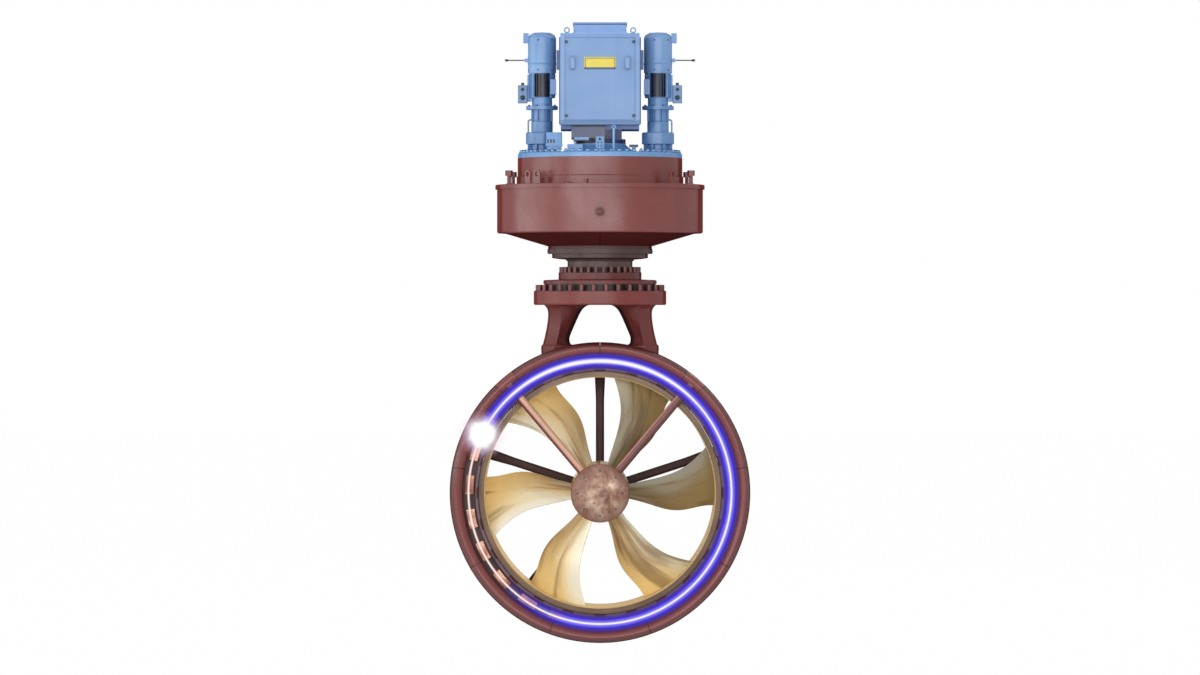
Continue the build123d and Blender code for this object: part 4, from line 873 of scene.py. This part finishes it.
class THRUSTER_OT_motor_ring(bpy.types.Operator):
    """Finish the stator, its coils and can, the rotor's rim and the magnets"""
    bl_idname = "thruster.motor_ring"
    bl_label = "Stator and Rotor"

    def execute(self, context):
        dress(wound_copper(), "stator_coils")
        dress(spun_metal("core_laminations", tone(88, 62, 62), tone(44, 28, 30), 0.4), "stator_core")
        dress(spun_metal("can_alloy", tone(122, 98, 110), tone(84, 64, 72), 0.3, window_outer=0.849), "stator_can")
        dress(spun_metal("rim_bronze", tone(134, 106, 80), tone(92, 70, 52), 0.2, lip=0.7975), "rotor_rim")
        dress("dark_steel", "rotor_magnets")
        return {"FINISHED"}


class THRUSTER_OT_propeller(bpy.types.Operator):
    """Finish the bronze blades, the hub and the axle"""
    bl_idname = "thruster.propeller"
    bl_label = "Propeller"

    def execute(self, context):
        dress(bronze_blades(context.scene.thruster_colours.bronze), "propeller_blades", "propeller_hub")
        dress("bright_steel", "axle")
        dress(metal("bush_bronze", tone(150, 120, 70), tone(90, 66, 36)), "axle_bushes")
        return {"FINISHED"}


class THRUSTER_OT_field(bpy.types.Operator):
    """Light the stator field that runs round the duct, and its flash"""
    bl_idname = "thruster.field"
    bl_label = "Lit Field"

    def execute(self, context):
        sizes = context.scene.thruster_sizes
        start, end = sizes.field_start, sizes.field_end
        ring_band("field_band", sizes, sizes.field_half_width, end, start, 220,
                  field_light(sizes, context.scene.thruster_colours.field_blue))
        thread, overlap = 0.014, math.radians(30)
        ring_band("field_thread", sizes, thread, start, end + FULL_TURN + overlap, 80, thread_light(sizes, thread))
        centre = (sizes.field_radius * math.cos(start), field_depth - 0.012,
                  duct_centre + sizes.field_lift + sizes.field_radius * math.sin(start))
        shape = bmesh.new()
        bmesh.ops.create_circle(shape, cap_ends=True, cap_tris=True, segments=48, radius=sizes.flash_radius)
        mesh = mesh_of(shape, "field_flash", Matrix.Translation(centre) @ FACING_FRONT)
        piece("field_flash", mesh, flash_light(centre, sizes.flash_radius), AZIMUTH)
        return {"FINISHED"}


class THRUSTER_OT_deck(bpy.types.Operator):
    """Paint the deck and what stands on it"""
    bl_idname = "thruster.deck"
    bl_label = "Deck"

    def execute(self, context):
        nuts = context.scene.thruster_sizes.deck_nuts
        blue, stain = context.scene.thruster_colours.deck_blue, tone(60, 90, 140)
        dress("deck_blue", "deck_plate", "deck_cover", "instrument_bracket")
        dress("light_blue_steel", "deck_nuts", "dipstick_tube", "dipstick")
        dress(self.pedestal_paint(), "pedestal")
        for name, level, head in (("deck_studs", deck_top + 0.013, (12, 0.0075, 0.007)),
                                  ("deck_washers", deck_top, (20, 0.0165, 0.0025))):
            fastener_ring(name, HULL, "navy_steel", (0, 0, level), head, count=nuts, circle_radius=0.545,
                          first_angle=math.radians(180 / nuts))
        # Slots in the front of the lubricator painted dark as their shade, from its left side on
        slot_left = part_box("lubricator")[0].x + 0.011
        slots = [((slot_left + step - 0.001, -0.2045, 0.312), (slot_left + step + 0.014, -0.19, 0.342),
                  tone(34, 46, 72)) for step in (0.0, 0.02, 0.04)]
        dress(painted("lubricator_blue", blue, stain, gloss=0.34, patches=slots), "lubricator")
        # Painted shade on the undersides of the manifold's body and of its valve
        dress(painted("manifold_blue", blue, stain, gloss=0.34, patches=(
            ((-0.3, -0.4, 0.3205), (0.0, -0.2, 0.334), tone(52, 44, 40)),
            ((0.19, -0.4, 0.284), (0.3, -0.2, 0.31), tone(46, 38, 36)))), "oil_manifold")
        return {"FINISHED"}

    def pedestal_paint(self):
        """Grey at the left, dark blue at the right as painted shade, nearly black on the disc below."""
        split_at, disc_top = 0.0355, 0.3451
        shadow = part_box("pedestal")[1].z - 0.013
        # Painted shade over the right half, and a painted shadow under the cabinet along the top
        return painted("pedestal_paint", tone(98, 108, 132), tone(72, 82, 104), 0.35, patches=(
            ((split_at, -1, 0), (1, 1, 1), tone(14, 46, 92)),
            ((-1, -1, 0), (split_at, 1, disc_top), tone(36, 40, 38)), band(shadow, 1, tone(40, 52, 78))))


class THRUSTER_OT_cabinet(bpy.types.Operator):
    """Paint the cabinet and its cover, and add the line round the cover and the border of its blank plate"""
    bl_idname = "thruster.cabinet"
    bl_label = "Cabinet"

    bevel = 0.03

    def execute(self, context):
        blue = context.scene.thruster_colours.cabinet_blue
        body_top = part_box("cabinet_body")[1].z
        dress(painted("cabinet_body_blue", blue, tone(84, 118, 170), 0.25, 0.08, 0.36, patches=(
            band(0, cover_low.z - 0.0005, tone(84, 112, 160)),)), "cabinet_body")
        # Painted shade: the side fittings darker than the cabinet, back to a lighter blue above the body's top
        dress(painted("cabinet_side_blue", tone(84, 112, 158), tone(60, 84, 128), 0.25, 0.08, patches=(
            band(body_top - 0.004, ABOVE, tone(132, 170, 220)),)), "cabinet_fittings")
        # Painted highlights on the cover's side and top bevels, painted shade on its lower bevel
        pale = tone(126, 162, 211)
        dress(painted("cover_blue", blue, tone(100, 136, 188), 0.2, 0.06, 0.36, patches=(
            ((-1, -1, 0), (cover_low.x + self.bevel, 1, ABOVE), pale),
            ((cover_high.x - self.bevel, -1, 0), (1, 1, ABOVE), pale),
            band(cover_high.z - self.bevel, ABOVE, pale),
            band(0, cover_low.z + self.bevel, tone(100, 134, 180)))), "cabinet_cover")
        vent_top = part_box("roof_vent")[1].z
        lid_low, lid_high = vent_top - 0.017, vent_top - 0.0105
        dress(painted("vent_blue", tone(156, 196, 244), tone(112, 150, 206), 0.2, 0.1, 0.36, patches=(
            band(lid_low, lid_high, tone(50, 76, 120)), band(lid_high, ABOVE, tone(112, 150, 204)))), "roof_vent")
        dress("drive_blue", "slip_ring_housing")
        self.dress_cover_fittings(blue)
        self.add_lines()
        return {"FINISHED"}

    def dress_cover_fittings(self, blue):
        """Yellow blank plate, blue handles shaded at their lower ends, dark locks."""
        plate_half, lock_inner, handle_low = 0.112, 0.2175, 0.83
        lock = tone(26, 34, 50)
        dress(painted("cover_fitting_finish", blue, tone(96, 130, 180), 0.15, 0.08, 0.32, patches=(
            ((-plate_half, -1, -ABOVE), (plate_half, 1, ABOVE), tone(226, 205, 60)),
            ((-1, cover_low.y - 0.0235, handle_low - 0.02), (1, 1, handle_low), tone(64, 92, 140)),
            ((lock_inner, -1, -ABOVE), (1, 1, ABOVE), lock), ((-1, -1, -ABOVE), (-lock_inner, 1, ABOVE), lock))),
            "cover_fittings")

    def add_lines(self):
        """Dark joint line inside the cover's bevel and the border printed on the blank plate."""
        line_frame("cover_line", cover_low.x + self.bevel, cover_high.x - self.bevel, cover_low.z + self.bevel,
                   cover_high.z - self.bevel, cover_low.y, 0.0032, 0.0004,
                   painted("line_blue", tone(72, 102, 150), tone(50, 74, 116), 0.2, 0.1))
        half_width, half_height, middle = 0.103, 0.036, 0.858
        line_frame("plate_border", -half_width, half_width, middle - half_height, middle + half_height,
                   cover_low.y - 0.003, 0.0035, 0.0006, "black_plastic")


class THRUSTER_OT_drives(bpy.types.Operator):
    """Finish both steering drives and add their screws, bars and lamps"""
    bl_idname = "thruster.drives"
    bl_label = "Steering Drives"

    def execute(self, context):
        fins_low, fins_high, window_half = 0.633, 0.7995, 0.053
        windows = [((sign * drive_axis - window_half, -1, fins_low), (sign * drive_axis + window_half, 0, fins_high),
                    tone(6, 18, 44)) for _, sign in SIDES]
        dress(painted("motor_blue", context.scene.thruster_colours.deck_blue, tone(58, 86, 130), 0.35, 0.14, 0.34,
                      patches=windows), *both("motor"))
        dress(painted("cowl_blue", tone(124, 163, 211), tone(76, 108, 156), gloss=0.3), *both("cowl"))
        dress("drive_blue", *both("gearbox"), "breather_pipes")
        dress("bright_steel", *both("motor_rotor", "pinion"))
        dress("dark_steel", *both("brake_lever"))
        dress("black_plastic", *both("stop_button"))
        dress(painted("terminal_blue", tone(112, 150, 204), tone(80, 110, 160), 0.25, 0.1, 0.34), "terminal_boxes")
        dress(painted("control_box_blue", tone(104, 140, 182), tone(74, 100, 138), 0.25, 0.1, 0.34, patches=(
            band(box_high.z - 0.018, 1, tone(30, 32, 38)),)), *both("control_box"))
        moulded("lamp_green", tone(16, 48, 44), 0.2)
        for side, sign in SIDES:
            self.add_trim(side, sign)
        return {"FINISHED"}

    def add_trim(self, side, sign):
        """Screws of the cowl, bars beside the motor, bolts of its flange and the lamp of the control box."""
        x = sign * drive_axis
        for level, label in ((0.822, "low"), (1.028, "high")):
            fastener_ring(f"cowl_screws_{label}_{side}", HULL, "navy_steel", (x, 0, level), (10, 0.0055, 0.003),
                          count=6, circle_radius=0.0965, first_angle=math.radians(15), tilt=QUARTER_TURN)
        fastener_ring(f"motor_tie_bars_{side}", HULL, "drive_blue", (x, 0, 0.631), (12, 0.0075, 0.171),
                      count=4, circle_radius=0.0865, first_angle=math.radians(45))
        fastener_ring(f"flange_bolts_{side}", HULL, "navy_steel", (x, 0, gearbox_high.z), (6, 0.0085, 0.007),
                      count=8, circle_radius=0.095, first_angle=math.radians(22.5), washer_radius=0.0105,
                      washer_height=0.0015)
        lamp = (sign * (box_low.x + box_high.x) / 2, box_low.y, 0.632)
        for name, outline, material in (
                ("lens", ((0.0, 0.0), (0.0135, 0.0), (0.0125, 0.004), (0.007, 0.0065), (0.0, 0.0072)), "lamp_green"),
                ("bezel", ((0.014, 0.0), (0.0165, 0.0), (0.0165, 0.002), (0.014, 0.003)), "navy_steel")):
            lathe(f"lamp_{name}_{side}", outline, lamp, FACING_FRONT, 24, material, HULL)


class THRUSTER_PT_panel(bpy.types.Panel):
    bl_label = "Rim Drive Thruster"
    bl_idname = "THRUSTER_PT_panel"
    bl_space_type = "VIEW_3D"
    bl_region_type = "UI"
    bl_category = "Thruster"

    def draw(self, context):
        for item in OPERATORS:
            self.layout.operator(item.bl_idname)
        for name, kind in SETTINGS.items():
            for field in kind.__annotations__:
                self.layout.prop(getattr(context.scene, name), field)


# In the order in which they run
OPERATORS = (
    THRUSTER_OT_finishes, THRUSTER_OT_stage, THRUSTER_OT_hull_side, THRUSTER_OT_column, THRUSTER_OT_strut_frame,
    THRUSTER_OT_duct, THRUSTER_OT_motor_ring, THRUSTER_OT_propeller, THRUSTER_OT_field, THRUSTER_OT_deck,
    THRUSTER_OT_cabinet, THRUSTER_OT_drives)
SETTINGS = {"thruster_colours": ThrusterColours, "thruster_sizes": ThrusterSizes, "thruster_stage": ThrusterStage}
CLASSES = (*SETTINGS.values(), *OPERATORS, THRUSTER_PT_panel)


def register():
    for item in CLASSES:
        bpy.utils.register_class(item)
    for name, kind in SETTINGS.items():
        setattr(bpy.types.Scene, name, PointerProperty(type=kind))


def unregister():
    for name in SETTINGS:
        delattr(bpy.types.Scene, name)
    for item in reversed(CLASSES):
        bpy.utils.unregister_class(item)


def main():
    register()
    for item in OPERATORS:
        getattr(bpy.ops.thruster, item.bl_idname.removeprefix("thruster."))()


if __name__ == "__main__":
    main()
